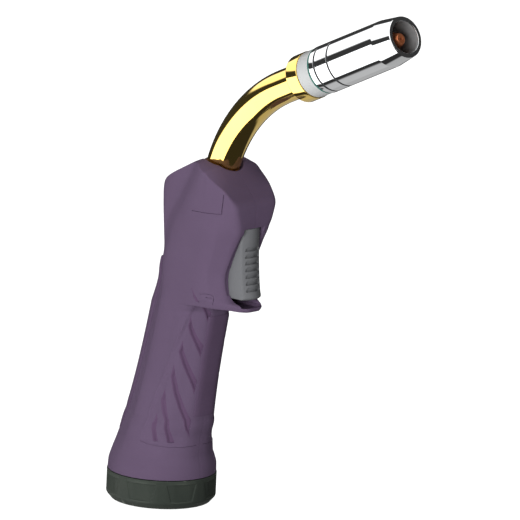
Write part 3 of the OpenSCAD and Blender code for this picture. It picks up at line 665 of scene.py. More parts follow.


# a fin's hollow: flush at its left edge, deepest at the sharp wall on its right; for the fin floors, a thin dark sheet
# lying on the hollow's floor instead, whose darker tone is painted shade
def finHollow(left, right, s, shadeSheet=False):
    left, right = np.array(left)[::-1], np.array(right)[::-1]
    low, high = max(left[0, 1], right[0, 1]), min(left[-1, 1], right[-1, 1])
    heights = np.linspace(low + 0.02, high - 0.02, int((high - low) / 0.9) + 3)
    across = np.linspace(0, 1, 11)
    lids, floors = [], []
    for z in heights:
        lo, hi = np.interp(z, left[:, 1], left[:, 0]), np.interp(z, right[:, 1], right[:, 0])
        hi = max(hi, lo + 0.16)
        skin, normal = onSkin([(lo + (hi - lo) * f, z) for f in across])
        deep = s["finDepth"] * min(1, (hi - lo) / 2.4) * eased(across * (hi - lo) / s["finRamp"])
        deep = np.maximum(deep, 0.09)
        lids.append(skin + normal * ((s["shadeSheetProud"] - deep)[:, None] if shadeSheet else 0.5))
        floors.append(skin - normal * (deep + (s["shadeSheetDeep"] if shadeSheet else -0.02))[:, None])
    lids, floors = np.array(lids), np.array(floors)
    return wallBetween(lids, floors, np.ones((lids.shape[0] - 1, lids.shape[1] - 1), bool), False)


# a thin groove along a path on the skin
def groove(path, width, depth):
    stops = [np.array(path[0], float)]
    for a, b in zip(path, path[1:]):
        a, b = np.array(a, float), np.array(b, float)
        n = max(1, int(np.linalg.norm(b - a) / 0.9))
        stops += [a + (b - a) * (k + 1) / n for k in range(n)]
    skin, normal = onSkin(stops)
    along = np.gradient(skin, axis=0)
    side = np.cross(normal, along)
    side /= np.linalg.norm(side, axis=1, keepdims=True)
    lids = np.stack([skin - side * width / 2 + normal * 0.4, skin + side * width / 2 + normal * 0.4], axis=1)
    floors = np.stack([skin - side * width / 2 - normal * depth, skin + side * width / 2 - normal * depth], axis=1)
    return wallBetween(lids, floors, np.ones((len(stops) - 1, 1), bool), False)


def joined(parts):
    points, faces = [], []
    for p, f in parts:
        faces += [tuple(i + len(points) for i in face) for face in f]
        points += list(p)
    return points, faces


shells = []
for name, sign in (("handle_shell_right", -1), ("handle_shell_left", 1)):
    skin, room = carved.copy(), innerRows.copy()
    skin[:, [0, -1], 1] += 0.03
    room[:, [0, -1], 1] += 0.002
    skin[:, [0, -1]] -= normalAt[:, [0, -1]] * 0.04
    turn = np.array([1, sign, 1])
    points, faces = wallBetween(skin * turn, room * turn, cells, sign > 0)
    shell = pieceFrom("torch_" + name, points, faces, finishes["shell_plastic"], None, 32)
    shells.append((shell, name, turn))
    print(name, len(points), "points,", len(faces) * 2, "triangles")


# the shells' screw holes, cut on the left shell
screws = {"at": [(-4.5, 54), (16, 66), (9.3, 124), (12.5, 151)], "hole": 2.7, "seat": 6.0, "head": 2.4, "shank": 1.4,
          "socket": 1.25, "tip": 8.5}


def cutBy(piece, cutter):
    cutter.data.materials[0] = piece.data.materials[0]
    cut = piece.modifiers.new("cut", "BOOLEAN")
    cut.operation, cut.solver, cut.object = "DIFFERENCE", "MANIFOLD", cutter
    settled(piece)
    bpy.data.objects.remove(cutter)


# applies what is on a piece and keeps only the mesh
def settled(piece, sharp=32):
    graph = bpy.context.evaluated_depsgraph_get()
    mesh = bpy.data.meshes.new_from_object(piece.evaluated_get(graph), preserve_all_data_layers=True, depsgraph=graph)
    piece.modifiers.clear()
    old = piece.data
    piece.data = mesh
    mesh.name = piece.name
    if old.users == 0:
        bpy.data.meshes.remove(old)
    for p in mesh.polygons:
        p.use_smooth = True
    mesh.set_sharp_from_angle(angle=math.radians(sharp))
    return piece


def rods(places, radius, low, high, sides=40):
    points, faces = [], []
    for x, z in places:
        base = len(points)
        for y in (low, high):
            points += [(x + radius * math.cos(2 * math.pi * k / sides), y, z + radius * math.sin(2 * math.pi * k / sides))
                       for k in range(sides)]
        faces += [(base + k, base + (k + 1) % sides, base + sides + (k + 1) % sides, base + sides + k)
                  for k in range(sides)]
        faces += [tuple(base + k for k in range(sides))[::-1], tuple(base + sides + k for k in range(sides))]
    return pieceFrom("cutter", points, faces, finishes["shell_plastic"], None, 30, close=True)


# the pocket let into the guard under the trigger
pocket = {"from": 34.0, "upto": 54.5, "half": 6.1, "floor": 99.5, "above": 103.0, "nose": 3.0}


def pocketCutter(s):
    outline = roundedOutline([(s["from"], -s["half"], 0), (s["upto"], -s["half"], s["nose"]),
                              (s["upto"], s["half"], s["nose"]), (s["from"], s["half"], 0)], 8)
    n = len(outline)
    points = [(x, y, z) for z in (s["floor"], s["above"]) for x, y in outline]
    faces = [(k, (k + 1) % n, n + (k + 1) % n, n + k) for k in range(n)] + [tuple(range(n))[::-1], tuple(range(n, 2 * n))]
    return pieceFrom("cutter", points, faces, finishes["shell_plastic"], None, 30, close=True)


cutBy(shells[1][0], rods(screws["at"], screws["hole"], screws["seat"], 30))
for shell, name, turn in shells:
    cutBy(shell, pocketCutter(pocket))
# a bevel along the trigger's opening: width of the bevel at each height
reveal = {"finDepth": 0.5, "finRamp": 1.3,
          "width": [(105.5, 1.9), (110, 2.5), (118, 2.6), (128, 2.0), (136.5, 0.9)]}


def revealHollow(s):
    low, high = s["width"][0][0], s["width"][-1][0]
    rows = [i for i in range(slotRows[0], slotRows[1]) if low <= outerRows[i, 0, 2] <= high][::3]
    edge = [(girthAt[i, splitColumn], outerRows[i, 0, 2]) for i in rows][::-1]
    z, wide = zip(*s["width"])
    return finHollow([(g - float(np.interp(h, z, wide)), h) for g, h in edge], [(g + 0.5, h) for g, h in edge], s)


finParts = joined([finHollow(left, right, sideMarks) for left, right in sideMarks["fins"]] + [revealHollow(reveal)])
lineParts = [groove(path, width, deep) for path, width, deep in sideMarks["lines"]]
for shell, name, turn in shells:
    for part in [finParts] + lineParts:
        cutter = pieceFrom("cutter", np.array(part[0]) * turn, part[1], finishes["shell_plastic"], None, 30, close=True)
        cutBy(shell, cutter)
    print(name, "cut:", len(shell.data.polygons), "faces")
for shell, name, turn in shells:
    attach(shell, "handle")
    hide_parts(name)
    side = "right" if turn[1] < 0 else "left"
    # thin dark sheets on the fin floors: painted shade in the hollows
    shadeSheets = joined([finHollow(a, b, sideMarks, True) for a, b in sideMarks["fins"]])
    piece = pieceFrom("torch_fin_inlays_" + side, np.array(shadeSheets[0]) * turn, shadeSheets[1], finishes["fin_shade_plastic"],
                      "handle", 40, close=True)
    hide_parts(name)
print("handle shells finished")


# soft grip pads lying on the skin, front and rear
pads = {
    "rear_grip_pad": {"from": 0, "upto": sum(columnCounts[:3]), "low": 31.6, "high": 117.4, "rise": 0.8, "fade": 14},
    "front_grip_pad": {"from": splitColumn + 1, "upto": columnTotal - 1, "low": 44.0, "high": 93.5, "rise": 0.3},
    "bed": 0.25, "edge": 1.2,
}


def gripPad(name, s):
    heights = outerRows[:, 0, 2]
    # the rows stay in order up the wall only, so the search ends under the roof
    keep = [i for i in range(6, slotRows[1]) if s["low"] <= heights[i] <= s["high"]]
    skin = outerRows[keep][:, s["from"]:s["upto"] + 1]
    normal = normalAt[keep][:, s["from"]:s["upto"] + 1]
    turn = np.array([1, -1, 1])
    if s["from"] == 0:
        skin = np.concatenate([skin[:, :0:-1] * turn, skin], axis=1)
        normal = np.concatenate([normal[:, :0:-1] * turn, normal], axis=1)
    else:
        skin = np.concatenate([skin, skin[:, -2::-1] * turn], axis=1)
        normal = np.concatenate([normal, normal[:, -2::-1] * turn], axis=1)
    middle = skin.shape[1] // 2
    skin[:, middle, 1], normal[:, middle, 1] = 0.0, 0.0
    girth = np.zeros(skin.shape[:2])
    girth[:, 1:] = np.cumsum(np.linalg.norm(np.diff(skin, axis=1), axis=2), axis=1)
    inFrom = np.minimum(girth, girth[:, -1:] - girth)
    inUp = np.minimum(skin[:, :, 2] - s["low"], s["high"] - skin[:, :, 2])
    near = np.clip(np.minimum(inFrom, inUp) / pads["edge"], 0, 1)
    rise = s["rise"] * (0.3 + 0.7 * np.sqrt(1 - (1 - near) ** 2))
    if "fade" in s:  # thinner towards its lower end
        rise = rise * (0.3 + 0.7 * eased((skin[:, :, 2] - s["low"]) / s["fade"]))
    top = skin + normal * rise[:, :, None]
    bed = skin - normal * pads["bed"]
    points, faces = wallBetween(top, bed, np.ones((len(keep) - 1, skin.shape[1] - 1), bool), True)
    pad = pieceFrom("torch_" + name, points, faces, finishes["grip_rubber"], "handle", 40)
    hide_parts(name)


for name in ("rear_grip_pad", "front_grip_pad"):
    gripPad(name, pads[name])
print("grip pads laid on")


# Geometry Nodes: a tree with named inputs, put on a piece and settled into a plain mesh
def newTree(name, sockets):
    tree = bpy.data.node_groups.new(name, "GeometryNodeTree")
    tree.interface.new_socket("Geometry", in_out="INPUT", socket_type="NodeSocketGeometry")
    for label, kind, value in sockets:
        made = tree.interface.new_socket(label, in_out="INPUT", socket_type="NodeSocket" + kind)
        if value is not None:
            made.default_value = value
    tree.interface.new_socket("Geometry", in_out="OUTPUT", socket_type="NodeSocketGeometry")
    return tree, node(tree, "NodeGroupInput"), node(tree, "NodeGroupOutput")


def runTree(name, start, tree, values, sharp=32):
    piece = bpy.data.objects.new(name, start)
    scene.collection.objects.link(piece)
    step = piece.modifiers.new(tree.name, "NODES")
    step.node_group = tree
    for item in tree.interface.items_tree:
        if item.item_type == "SOCKET" and item.in_out == "INPUT" and item.name in values:
            step[item.identifier] = values[item.name]
    settled(piece, sharp)
    piece.data.materials.clear()
    piece.data.materials.append(values["Finish"])
    piece.data.polygons.foreach_set("material_index", [0] * len(piece.data.polygons))
    return piece


def closeTree(tree, given, out, geometry):
    solid = node(tree, "GeometryNodeRealizeInstances", {"Geometry": geometry}).outputs[0]
    out.id_data.links.new(node(tree, "GeometryNodeSetMaterial", {"Geometry": solid, "Material": given.outputs["Finish"]})
                          .outputs[0], out.inputs[0])


# one sector of a ring, turned round an upright axis as often as Count says
def ringTree():
    tree, given, out = newTree("roundTheRing", [("Count", "Int", 8), ("Weld", "Float", 1e-6), ("Finish", "Material", None)])
    marks = node(tree, "GeometryNodeMeshLine", {"Count": given.outputs["Count"], "Offset": (0.0, 0.0, 0.0)})
    step = node(tree, "ShaderNodeMath", {0: 2 * math.pi, 1: given.outputs["Count"]}, operation="DIVIDE").outputs[0]
    angle = node(tree, "ShaderNodeMath", {0: node(tree, "GeometryNodeInputIndex").outputs[0], 1: step},
                 operation="MULTIPLY").outputs[0]
    turn = node(tree, "ShaderNodeCombineXYZ", {"Z": angle}).outputs[0]
    copies = node(tree, "GeometryNodeInstanceOnPoints", {"Points": marks.outputs[0], "Instance": given.outputs["Geometry"],
                                                         "Rotation": turn}).outputs[0]
    solid = node(tree, "GeometryNodeRealizeInstances", {"Geometry": copies}).outputs[0]
    welded = node(tree, "GeometryNodeMergeByDistance", {"Geometry": solid, "Distance": given.outputs["Weld"]}).outputs[0]
    closeTree(tree, given, out, welded)
    return tree


# a small piece set on every point of a guide, turned and stretched by the guide's own attributes
def setOnTree():
    tree, given, out = newTree("setOnPoints", [("Piece", "Object", None), ("Finish", "Material", None)])
    piece = node(tree, "GeometryNodeObjectInfo", {"Object": given.outputs["Piece"]}).outputs["Geometry"]
    lean = node(tree, "GeometryNodeInputNamedAttribute", {"Name": "lean"}, data_type="FLOAT_VECTOR").outputs[0]
    stretch = node(tree, "GeometryNodeInputNamedAttribute", {"Name": "stretch"}, data_type="FLOAT_VECTOR").outputs[0]
    copies = node(tree, "GeometryNodeInstanceOnPoints", {
        "Points": given.outputs["Geometry"], "Instance": piece, "Rotation": lean, "Scale": stretch}).outputs[0]
    closeTree(tree, given, out, copies)
    return tree


# the neck's tube: a straight foot, a bend and a straight front, swept round its own line
def neckTree():
    tree, given, out = newTree("bentNeck", [
        ("Foot", "Float", 0.0122), ("Bend Radius", "Float", 0.073), ("Bend", "Float", math.radians(50)),
        ("Front", "Float", 0.0178), ("Lean", "Float", handleLean), ("Radius", "Float", 0.0076),
        ("Along", "Int", 160), ("Around", "Int", 96), ("Start", "Vector", (0.0, 0.0, 0.0)),
        ("Finish", "Material", None)])
    g = given.outputs

    def m(operation, a, b=0.0, **more):
        return calc(tree, operation, a, b)
    arc = m("MULTIPLY", g["Bend Radius"], g["Bend"])
    full = m("ADD", m("ADD", g["Foot"], arc), g["Front"])
    line = node(tree, "GeometryNodeMeshLine", {"Count": g["Along"], "Offset": (0.0, 0.0, 0.0)}).outputs[0]
    curve = node(tree, "GeometryNodeMeshToCurve", {"Mesh": line}).outputs[0]
    last = m("SUBTRACT", g["Along"], 1.0)
    s = m("SUBTRACT", m("MULTIPLY", m("DIVIDE", node(tree, "GeometryNodeInputIndex").outputs[0], last), full), g["Foot"])
    before = m("MINIMUM", s, 0.0)
    turned = m("DIVIDE", m("MINIMUM", m("MAXIMUM", s, 0.0), arc), g["Bend Radius"])
    after = m("MAXIMUM", m("SUBTRACT", s, arc), 0.0)
    way = m("ADD", g["Lean"], turned)
    # the centre of the bend lies square to the foot; x and z of each point
    x = m("ADD", m("MULTIPLY", m("SINE", g["Lean"]), before), m("MULTIPLY", m("SINE", way), after))
    x = m("ADD", x, m("MULTIPLY", g["Bend Radius"], m("SUBTRACT", m("COSINE", g["Lean"]), m("COSINE", way))))
    z = m("ADD", m("MULTIPLY", m("COSINE", g["Lean"]), before), m("MULTIPLY", m("COSINE", way), after))
    z = m("ADD", z, m("MULTIPLY", g["Bend Radius"], m("SUBTRACT", m("SINE", way), m("SINE", g["Lean"]))))
    at = node(tree, "ShaderNodeCombineXYZ", {"X": x, "Z": z}).outputs[0]
    at = node(tree, "ShaderNodeVectorMath", {0: at, 1: g["Start"]}, operation="ADD").outputs[0]
    placed = node(tree, "GeometryNodeSetPosition", {"Geometry": curve, "Position": at}).outputs[0]
    ring = node(tree, "GeometryNodeCurvePrimitiveCircle", {"Resolution": g["Around"], "Radius": g["Radius"]}).outputs[0]
    swept = node(tree, "GeometryNodeCurveToMesh", {"Curve": placed, "Profile Curve": ring}).outputs[0]
    closeTree(tree, given, out, swept)
    return tree


neck = {"foot": 12.2, "bendRadius": 73.0, "bend": 50.0, "front": 13.3 + 4.5, "radius": 7.9, "wall": 1.3}


def swanNeck(s):
    piece = runTree("torch_swan_neck", bpy.data.meshes.new("torch_swan_neck"), neckTree(), {
        "Foot": s["foot"] * mm, "Bend Radius": s["bendRadius"] * mm, "Bend": math.radians(s["bend"]),
        "Front": s["front"] * mm, "Lean": handleLean, "Radius": s["radius"] * mm, "Along": 170, "Around": 112,
        "Start": tuple(neckFoot * mm), "Finish": finishes["polished_brass"]})
    wall = piece.modifiers.new("wall", "SOLIDIFY")
    wall.thickness, wall.offset = s["wall"] * mm, -1.0
    settled(piece)
    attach(piece, "handle")
    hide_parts("swan_neck")
    return piece


neckPiece = swanNeck(neck)
print("neck swept,", len(neckPiece.data.polygons), "faces")


# turned pieces in front of the neck, lengths from the collar's rear face
nozzleEnd = {
    "collar": {"radius": 11.3, "length": 7.3, "bore": 7.95, "seat": 4.55, "core": 4.58},
    "insulator": {"radius": 10.95, "from": 7.4, "length": 7.3, "bore": 6.28},
    "seal": {"radius": 11.1, "from": 14.78, "length": 0.86},
    "nozzle": {"radius": 11.25, "from": 15.9, "length": 54.6, "grooves": (3.0, 11.9), "grooveWidth": 1.15,
               "grooveDepth": 0.3, "taper": 11.1, "mouth": 9.75, "bore": 7.85, "sleeve": 9.7, "inside": 9.3, "step": 21.0},
    "tip": {"end": 67.6, "shoulder": 44.0, "radius": 5.0, "thread": 4.0, "bore": 0.6},
}


def nozzlePieces(s):
    c = s["collar"]
    made = [("neck_collar", "polished_brass", "handle", [
        (c["bore"], 0, 0.1), (c["radius"], 0, 0.45), (c["radius"], c["length"], 0.25), (c["core"], c["length"], 0.1),
        (c["core"], c["seat"], 0.05), (c["bore"], c["seat"], 0.05)])]
    c = s["insulator"]
    made.append(("insulator_ring", "white_insulator", "handle", [
        (c["bore"], c["from"], 0.1), (c["radius"], c["from"], 0.3), (c["radius"], c["from"] + c["length"], 0.35),
        (c["bore"], c["from"] + c["length"], 0.1)]))
    low = s["seal"]["from"]
    made.append(("seal_ring", "teal_seal", "handle", [
        (c["bore"], low, 0.05), (s["seal"]["radius"], low, 0.25), (s["seal"]["radius"], low + s["seal"]["length"], 0.25),
        (c["bore"], low + s["seal"]["length"], 0.05)]))
    c = s["nozzle"]
    a, r = c["from"], c["radius"]
    end = a + c["length"]
    outline = [(c["sleeve"], a, 0.1), (r, a, 0.35)]
    for i, g in enumerate(c["grooves"]):
        low, high, deep = a + g, a + g + c["grooveWidth"], r - c["grooveDepth"]
        outline += [(r, low - 0.3, 0), (r, low, 0.05), (deep, low, 0.04), (deep, high, 0.04), (r, high, 0.05),
                    (r, high + 0.3, 0)]
        # a dark ring lying in each groove, painted shade
        made.append(("gas_nozzle_groove_" + "ab"[i], "groove_steel", "nozzle", [
            (deep - 0.05, low + 0.02, 0), (r - 0.04, low + 0.02, 0.03), (r - 0.04, high - 0.02, 0.03),
            (deep - 0.05, high - 0.02, 0)]))
    made.append(("gas_nozzle_lining", "bore_steel", "nozzle", [
        (c["bore"] - 0.1, end - 0.5, 0.05), (c["bore"] + 0.03, end - 0.5, 0.02), (c["bore"] + 0.03, end - 1.6, 1.0),
        (c["inside"] + 0.03, end - c["taper"] - 1.4, 2.0), (c["inside"] + 0.03, end - 25, 0),
        (c["inside"] - 0.1, end - 25, 0), (c["inside"] - 0.1, end - c["taper"] - 1.4, 2.0), (c["bore"] - 0.1, end - 1.6, 1.0)]))
    outline += [(r, end - c["taper"] - 6, 0), (r, end - c["taper"], 5.0), (c["mouth"] + 0.05, end, 0.45),
                (c["bore"], end, 0.25),
                (c["bore"], end - 1.6, 1.0), (c["inside"], end - c["taper"] - 1.4, 2.0),
                (c["inside"], a + c["step"], 0.1), (c["sleeve"], a + c["step"], 0.1)]
    made.append(("gas_nozzle", "nozzle_chrome", "nozzle", outline))
    c = s["tip"]
    made.append(("contact_tip", "copper", "handle", [
        (c["bore"], c["shoulder"] - 8, 0.05), (c["thread"], c["shoulder"] - 8, 0.35), (c["thread"], c["shoulder"], 0.05),
        (c["radius"], c["shoulder"], 0.3), (c["radius"], c["end"] - 7.2, 0.8), (2.95, c["end"] - 0.9, 0.5),
        (2.3, c["end"], 0.7), (c["bore"] + 0.12, c["end"], 0.12), (c["bore"], c["end"] - 0.4, 0.1)]))
    for name, finish, body, outline in made:
        eased = roundedOutline(outline, 8 if name == "gas_nozzle" else 5)
        piece = turned("torch_" + name, eased, nozzleOrigin, nozzleAxis, nozzleSide, finishes[finish], body)
        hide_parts("gas_nozzle" if body == "nozzle" else name)


nozzlePieces(nozzleEnd)
print("collar, insulator, seal, nozzle and tip turned")


# locking ring: one sector with its recessed grip panel, repeated round the axis
ring = {
    "count": 8, "turn": 22.5, "radius": 25.4, "bevelRadius": 22.9, "bevelHeight": 2.9, "top": 13.72, "bore": 21.64, "floor": 3.0,
    "hole": 14.3, "panelLow": 3.7, "panelHigh": 12.0, "halfLow": 12.0, "halfHigh": 17.0, "panelFlat": 25.1,
    "panelDepth": 0.3, "edge": 0.3, "betweenFlat": 25.35,
}


def lockingRing(s):
    wall = list(np.linspace(s["bevelHeight"], s["panelLow"], 3)[1:]) + list(
        s["panelLow"] + np.array([0.08, 0.16, 0.24, 0.34, 0.5])) + list(np.linspace(4.5, 11.3, 10)) + list(
        s["panelHigh"] - np.array([0.5, 0.34, 0.24, 0.16, 0.08, 0]))
    corner = roundedOutline([(s["hole"], 0, 0.2), (s["bevelRadius"], 0, 1.0), (s["radius"], s["bevelHeight"], 1.8),
                             (s["radius"], 10, 0)], 6)[:-1]
    upper = roundedOutline([(s["radius"], 10, 0), (s["radius"], s["top"], 0.35), (s["bore"], s["top"], 0.2),
                            (s["bore"], s["floor"], 0.3), (s["hole"], s["floor"], 0.2), (s["hole"], 0, 0)], 4)
    outline = [p for p in corner if p[1] < wall[0] - 0.05] + [(s["radius"], z) for z in wall] + upper[1:-1]
    half = 180 / s["count"]
    rows = []
    for r, z in outline:
        span = float(np.interp(z, [s["panelLow"], s["panelHigh"]], [s["halfLow"], s["halfHigh"]]))
        e = math.degrees(s["edge"] / s["radius"])
        side = np.concatenate([np.linspace(0, span - e, 13)[:-1], np.linspace(span - e, span + e, 9)[:-1],
                               np.linspace(span + e, half, 9)])
        way = np.radians(np.concatenate([-side[:0:-1], side]))
        within = eased((np.radians(span) - np.abs(way)) / np.radians(e) * 0.5 + 0.5)
        within *= eased((z - s["panelLow"]) / 0.34) * eased((s["panelHigh"] - z) / 0.34)
        onPanel = s["bevelHeight"] - 0.3 < z < s["top"] - 0.5 and r > s["bevelRadius"]
        flat = np.minimum(r, s["panelFlat"] / np.cos(way)) - s["panelDepth"]
        between = np.minimum(r, s["betweenFlat"] / np.cos(np.radians(half) - np.abs(way)))
        lift = eased((z - s["bevelHeight"]) / 0.6) * eased((s["top"] - 1.2 - z) / 0.6)
        radius = np.full(len(way), r)
        if onPanel:
            radius = radius + (between - r) * lift
            radius = radius + (flat - radius) * within
        way = way + math.radians(s["turn"])
        rows.append(np.column_stack([radius * np.cos(way), radius * np.sin(way), np.full(len(way), z)]))
    n, columns = len(rows), len(rows[0])
    faces = [(i * columns + j, i * columns + j + 1, (i + 1) % n * columns + j + 1, (i + 1) % n * columns + j)
             for i in range(n) for j in range(columns - 1)]
    sector = bpy.data.meshes.new("torch_locking_ring")
    sector.from_pydata([tuple(p * mm) for p in np.concatenate(rows)], [], faces)
    piece = runTree("torch_locking_ring", sector, ringTree(), {
        "Count": s["count"], "Weld": 4e-6, "Finish": finishes["ring_plastic"]}, 40)
    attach(piece, "locking_ring")
    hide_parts("locking_ring")
    return piece


ringPiece = lockingRing(ring)
print("locking ring made,", len(ringPiece.data.polygons), "faces")


# trigger: a blade with eased edges, a pin hole and a row of finger scoops in its face
trigger = {
    "halfWidth": 6.3, "shoulder": 45.5, "narrow": 0.94, "narrowAt": 54.0, "corner": 1.5, "ends": 0.6, "crown": 1.9,
    "front": [(104.4, 54.4), (105.6, 55.5), (108, 54.9), (116.6, 53.7), (128.2, 52.9), (137.85, 52.8)],
    "back": [(104.4, 42.6), (107, 40.6), (126, 40.6), (131.6, 41.6), (135.6, 41.6), (137.85, 44)],
    "low": 104.4, "high": 137.85, "pin": (45.5, 133.5), "pinRadius": 1.55,
    "scoopTop": 127.3, "scoopPitch": 3.12, "scoopCount": 7, "scoopHalf": 4.35, "scoopDeep": 1.1, "scoopTall": 2.25,
}


def triggerPiece(s):
    frontAt = steady(*zip(*s["front"]))
    backZ, backX = zip(*s["back"])
    heights = np.concatenate([[s["low"]], s["low"] + s["ends"] * (1 - np.cos(np.linspace(0.25, 1.57, 6))),
                              np.linspace(s["low"] + 0.9, s["high"] - 0.9, 96),
                              s["high"] - s["ends"] * (1 - np.cos(np.linspace(1.57, 0.25, 6))), [s["high"]]])
    rows = []
    for z in heights:
        near = min(z - s["low"], s["high"] - z)
        t = min(1.0, near / s["ends"])
        inset = s["ends"] * (1 - math.sqrt(max(0.0, 1 - (1 - t) ** 2)))
        front, back = float(frontAt(z)) - inset, float(np.interp(z, backZ, backX)) + inset
        wide = s["halfWidth"] - inset
        slope = (1 - s["narrow"]) / (s["narrowAt"] - s["shoulder"])
        tip = wide * (1 - slope * max(0.0, front - s["shoulder"]))
        side = max(s["shoulder"], back + 0.7)
        crown = [(front - s["crown"] * (f * f), -tip * f * 0.92, 0) for f in np.linspace(-1, 1, 25)]
        line = [(back, -wide, 0.6), (back, 0, 0), (back, wide, 0.6), (side, wide, 0.8),
                (front - s["crown"] - 0.7, tip, s["corner"])] + crown + [
                (front - s["crown"] - 0.7, -tip, s["corner"]), (side, -wide, 0.8)]
        rows.append([(x, y, z) for x, y in roundedOutline(line, 5)])
    n = len(rows[0])
    points = [p for row in rows for p in row]
    faces = [(i * n + j, i * n + (j + 1) % n, (i + 1) * n + (j + 1) % n, (i + 1) * n + j)
             for i in range(len(rows) - 1) for j in range(n)]
    faces += [tuple(range(n))[::-1], tuple(range((len(rows) - 1) * n, len(rows) * n))]
    piece = pieceFrom("torch_trigger", points, faces, finishes["trigger_plastic"], None, 32, close=True)
    cutBy(piece, rods([s["pin"]], s["pinRadius"], -9, 9))
    return piece, frontAt


# what one finger scoop takes away: flush at the top, deepest over a square foot, its ends rounded off
def scoopShape(s):
    section = [(0.7, s["scoopTall"] + 0.2), (0.04, s["scoopTall"]), (-0.3 * s["scoopDeep"], 0.6 * s["scoopTall"]),
               (-0.93 * s["scoopDeep"], 0.16), (-s["scoopDeep"], 0.05), (-s["scoopDeep"] + 0.08, 0.0), (0.7, -0.06)]
    end = 1.9 / s["scoopHalf"]
    along = np.concatenate([[-1], -1 + end * (1 - np.cos(np.linspace(0.2, 1.57, 9))), np.linspace(-0.5, 0.5, 13),
                            1 - end * (1 - np.cos(np.linspace(1.57, 0.2, 9))), [1]])
    points, faces = [], []
    n = len(section)
    for a in along:
        k = max(0.03, math.sqrt(1 - max(0.0, (abs(a) - 1 + end) / end) ** 2))
        bow = s["crown"] * (a * s["scoopHalf"] / (s["halfWidth"] * 0.8)) ** 2
        points += [((x if x > 0 else x * k) - bow, a * s["scoopHalf"], z * k) for x, z in section]
    for i in range(len(along) - 1):
        faces += [(i * n + j, i * n + (j + 1) % n, (i + 1) * n + (j + 1) % n, (i + 1) * n + j) for j in range(n)]
    faces += [tuple(range(n))[::-1], tuple(range((len(along) - 1) * n, len(along) * n))]
    return pieceFrom("scoop", points, faces, finishes["trigger_plastic"], None, 32, close=True)


# points of a guide, each with a lean and a stretch for what is set on it
def guide(name, points, leans=None, stretches=None):
    mesh = bpy.data.meshes.new(name)
    mesh.from_pydata([tuple(float(c) * mm for c in p) for p in points], [], [])
    for label, values, usual in (("lean", leans, (0, 0, 0)), ("stretch", stretches, (1, 1, 1))):
        layer = mesh.attributes.new(label, "FLOAT_VECTOR", "POINT")
        for i in range(len(points)):
            layer.data[i].vector = values[i] if values else usual
    return mesh


def setOn(name, shape, places, finish, body, replaced, sharp=32):
    piece = runTree(name, places, setOnTree(), {"Piece": shape, "Finish": finish}, sharp)
    for label in ("lean", "stretch"):
        if label in piece.data.attributes:
            piece.data.attributes.remove(piece.data.attributes[label])
    bpy.data.objects.remove(shape)
    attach(piece, body)
    if replaced:
        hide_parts(*replaced)
    return piece


def scooped(s):
    piece, frontAt = triggerPiece(s)
    heights = [s["scoopTop"] - s["scoopPitch"] * i for i in range(s["scoopCount"])]
    leans = [(0, math.atan2(float(frontAt(z + 0.5)) - float(frontAt(z - 0.5)), 1.0), 0) for z in heights]
    shape = scoopShape(s)
    cutBy(piece, runTree("scoops", guide("scoopPlaces", [(float(frontAt(z)), 0, z) for z in heights], leans),
                         setOnTree(), {"Piece": shape, "Finish": finishes["trigger_plastic"]}))
    bpy.data.objects.remove(shape)
    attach(piece, "trigger")
    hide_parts("trigger")
    return len(heights)


print("trigger made with", scooped(trigger), "scoops")


# handle screws and the bosses that hold them
def screwShape(s, sides=48):
    ring, points, faces = [], [], []
    for k in range(sides):
        a = 2 * math.pi * k / sides
        b = (a + math.pi / 6) % (math.pi / 3) - math.pi / 6
        ring.append((math.cos(a), math.sin(a), math.cos(math.pi / 6) / math.cos(b)))
    head = s["seat"] + 2.0
    rows = [(s["shank"] * 0.6, -s["tip"], 0), (s["shank"], -s["tip"] + 0.6, 0)]
    for i in range(25):  # the thread's turns
        y = -s["tip"] + 0.9 + i * 0.32
        rows += [(s["shank"], y, 0), (s["shank"] - 0.14, y + 0.16, 0)]
    rows += [(s["shank"], 0.4, 0), (s["shank"], s["seat"], 0), (s["head"] - 0.1, s["seat"], 0),
             (s["head"], s["seat"] + 0.1, 0), (s["head"], head - 0.35, 0), (s["head"] - 0.1, head - 0.1, 0),
             (s["head"] - 0.35, head, 0), (s["socket"] + 0.12, head, 1), (s["socket"], head - 0.1, 1),
             (s["socket"], head - 1.2, 1)]
    for r, y, hexed in rows:
        points += [(r * c * (h if hexed else 1), y, r * d * (h if hexed else 1)) for c, d, h in ring]
    for i in range(len(rows) - 1):
        faces += [(i * sides + k, i * sides + (k + 1) % sides, (i + 1) * sides + (k + 1) % sides, (i + 1) * sides + k)
                  for k in range(sides)]
    points += [(0, -s["tip"], 0), (0, head - 1.45, 0)]
    last = (len(rows) - 1) * sides
    faces += [(len(points) - 2, (k + 1) % sides, k) for k in range(sides)]
    faces += [(len(points) - 1, last + k, last + (k + 1) % sides) for k in range(sides)]
    return pieceFrom("screw", points, faces, finishes["screw_steel"], None, 32, close=True)


places = [(x, 0, z) for x, z in screws["at"]]
setOn("torch_handle_screws", screwShape(screws), guide("screwPlaces", places), finishes["screw_steel"],
      "handle", ["handle_screws"])


# half depth of the handle's skin over a point of its middle plane
def skinOver(x, z):
    row = outerRows[6 + int(np.argmin(np.abs(outerRows[6:slotRows[1], 0, 2] - z)))]
    if z > handle["slotTop"]:
        row = headLine(np.full(columnTotal, float(z)))
    order = np.argsort(row[:, 0])
    return float(np.interp(x, row[order, 0], row[order, 1]))


def boss(name, outline):
    return turned(name, outline, np.zeros(3), np.array((0.0, 1.0, 0.0)), np.array((0.0, 0, 1)),
                  finishes["shell_plastic"], None, 48)


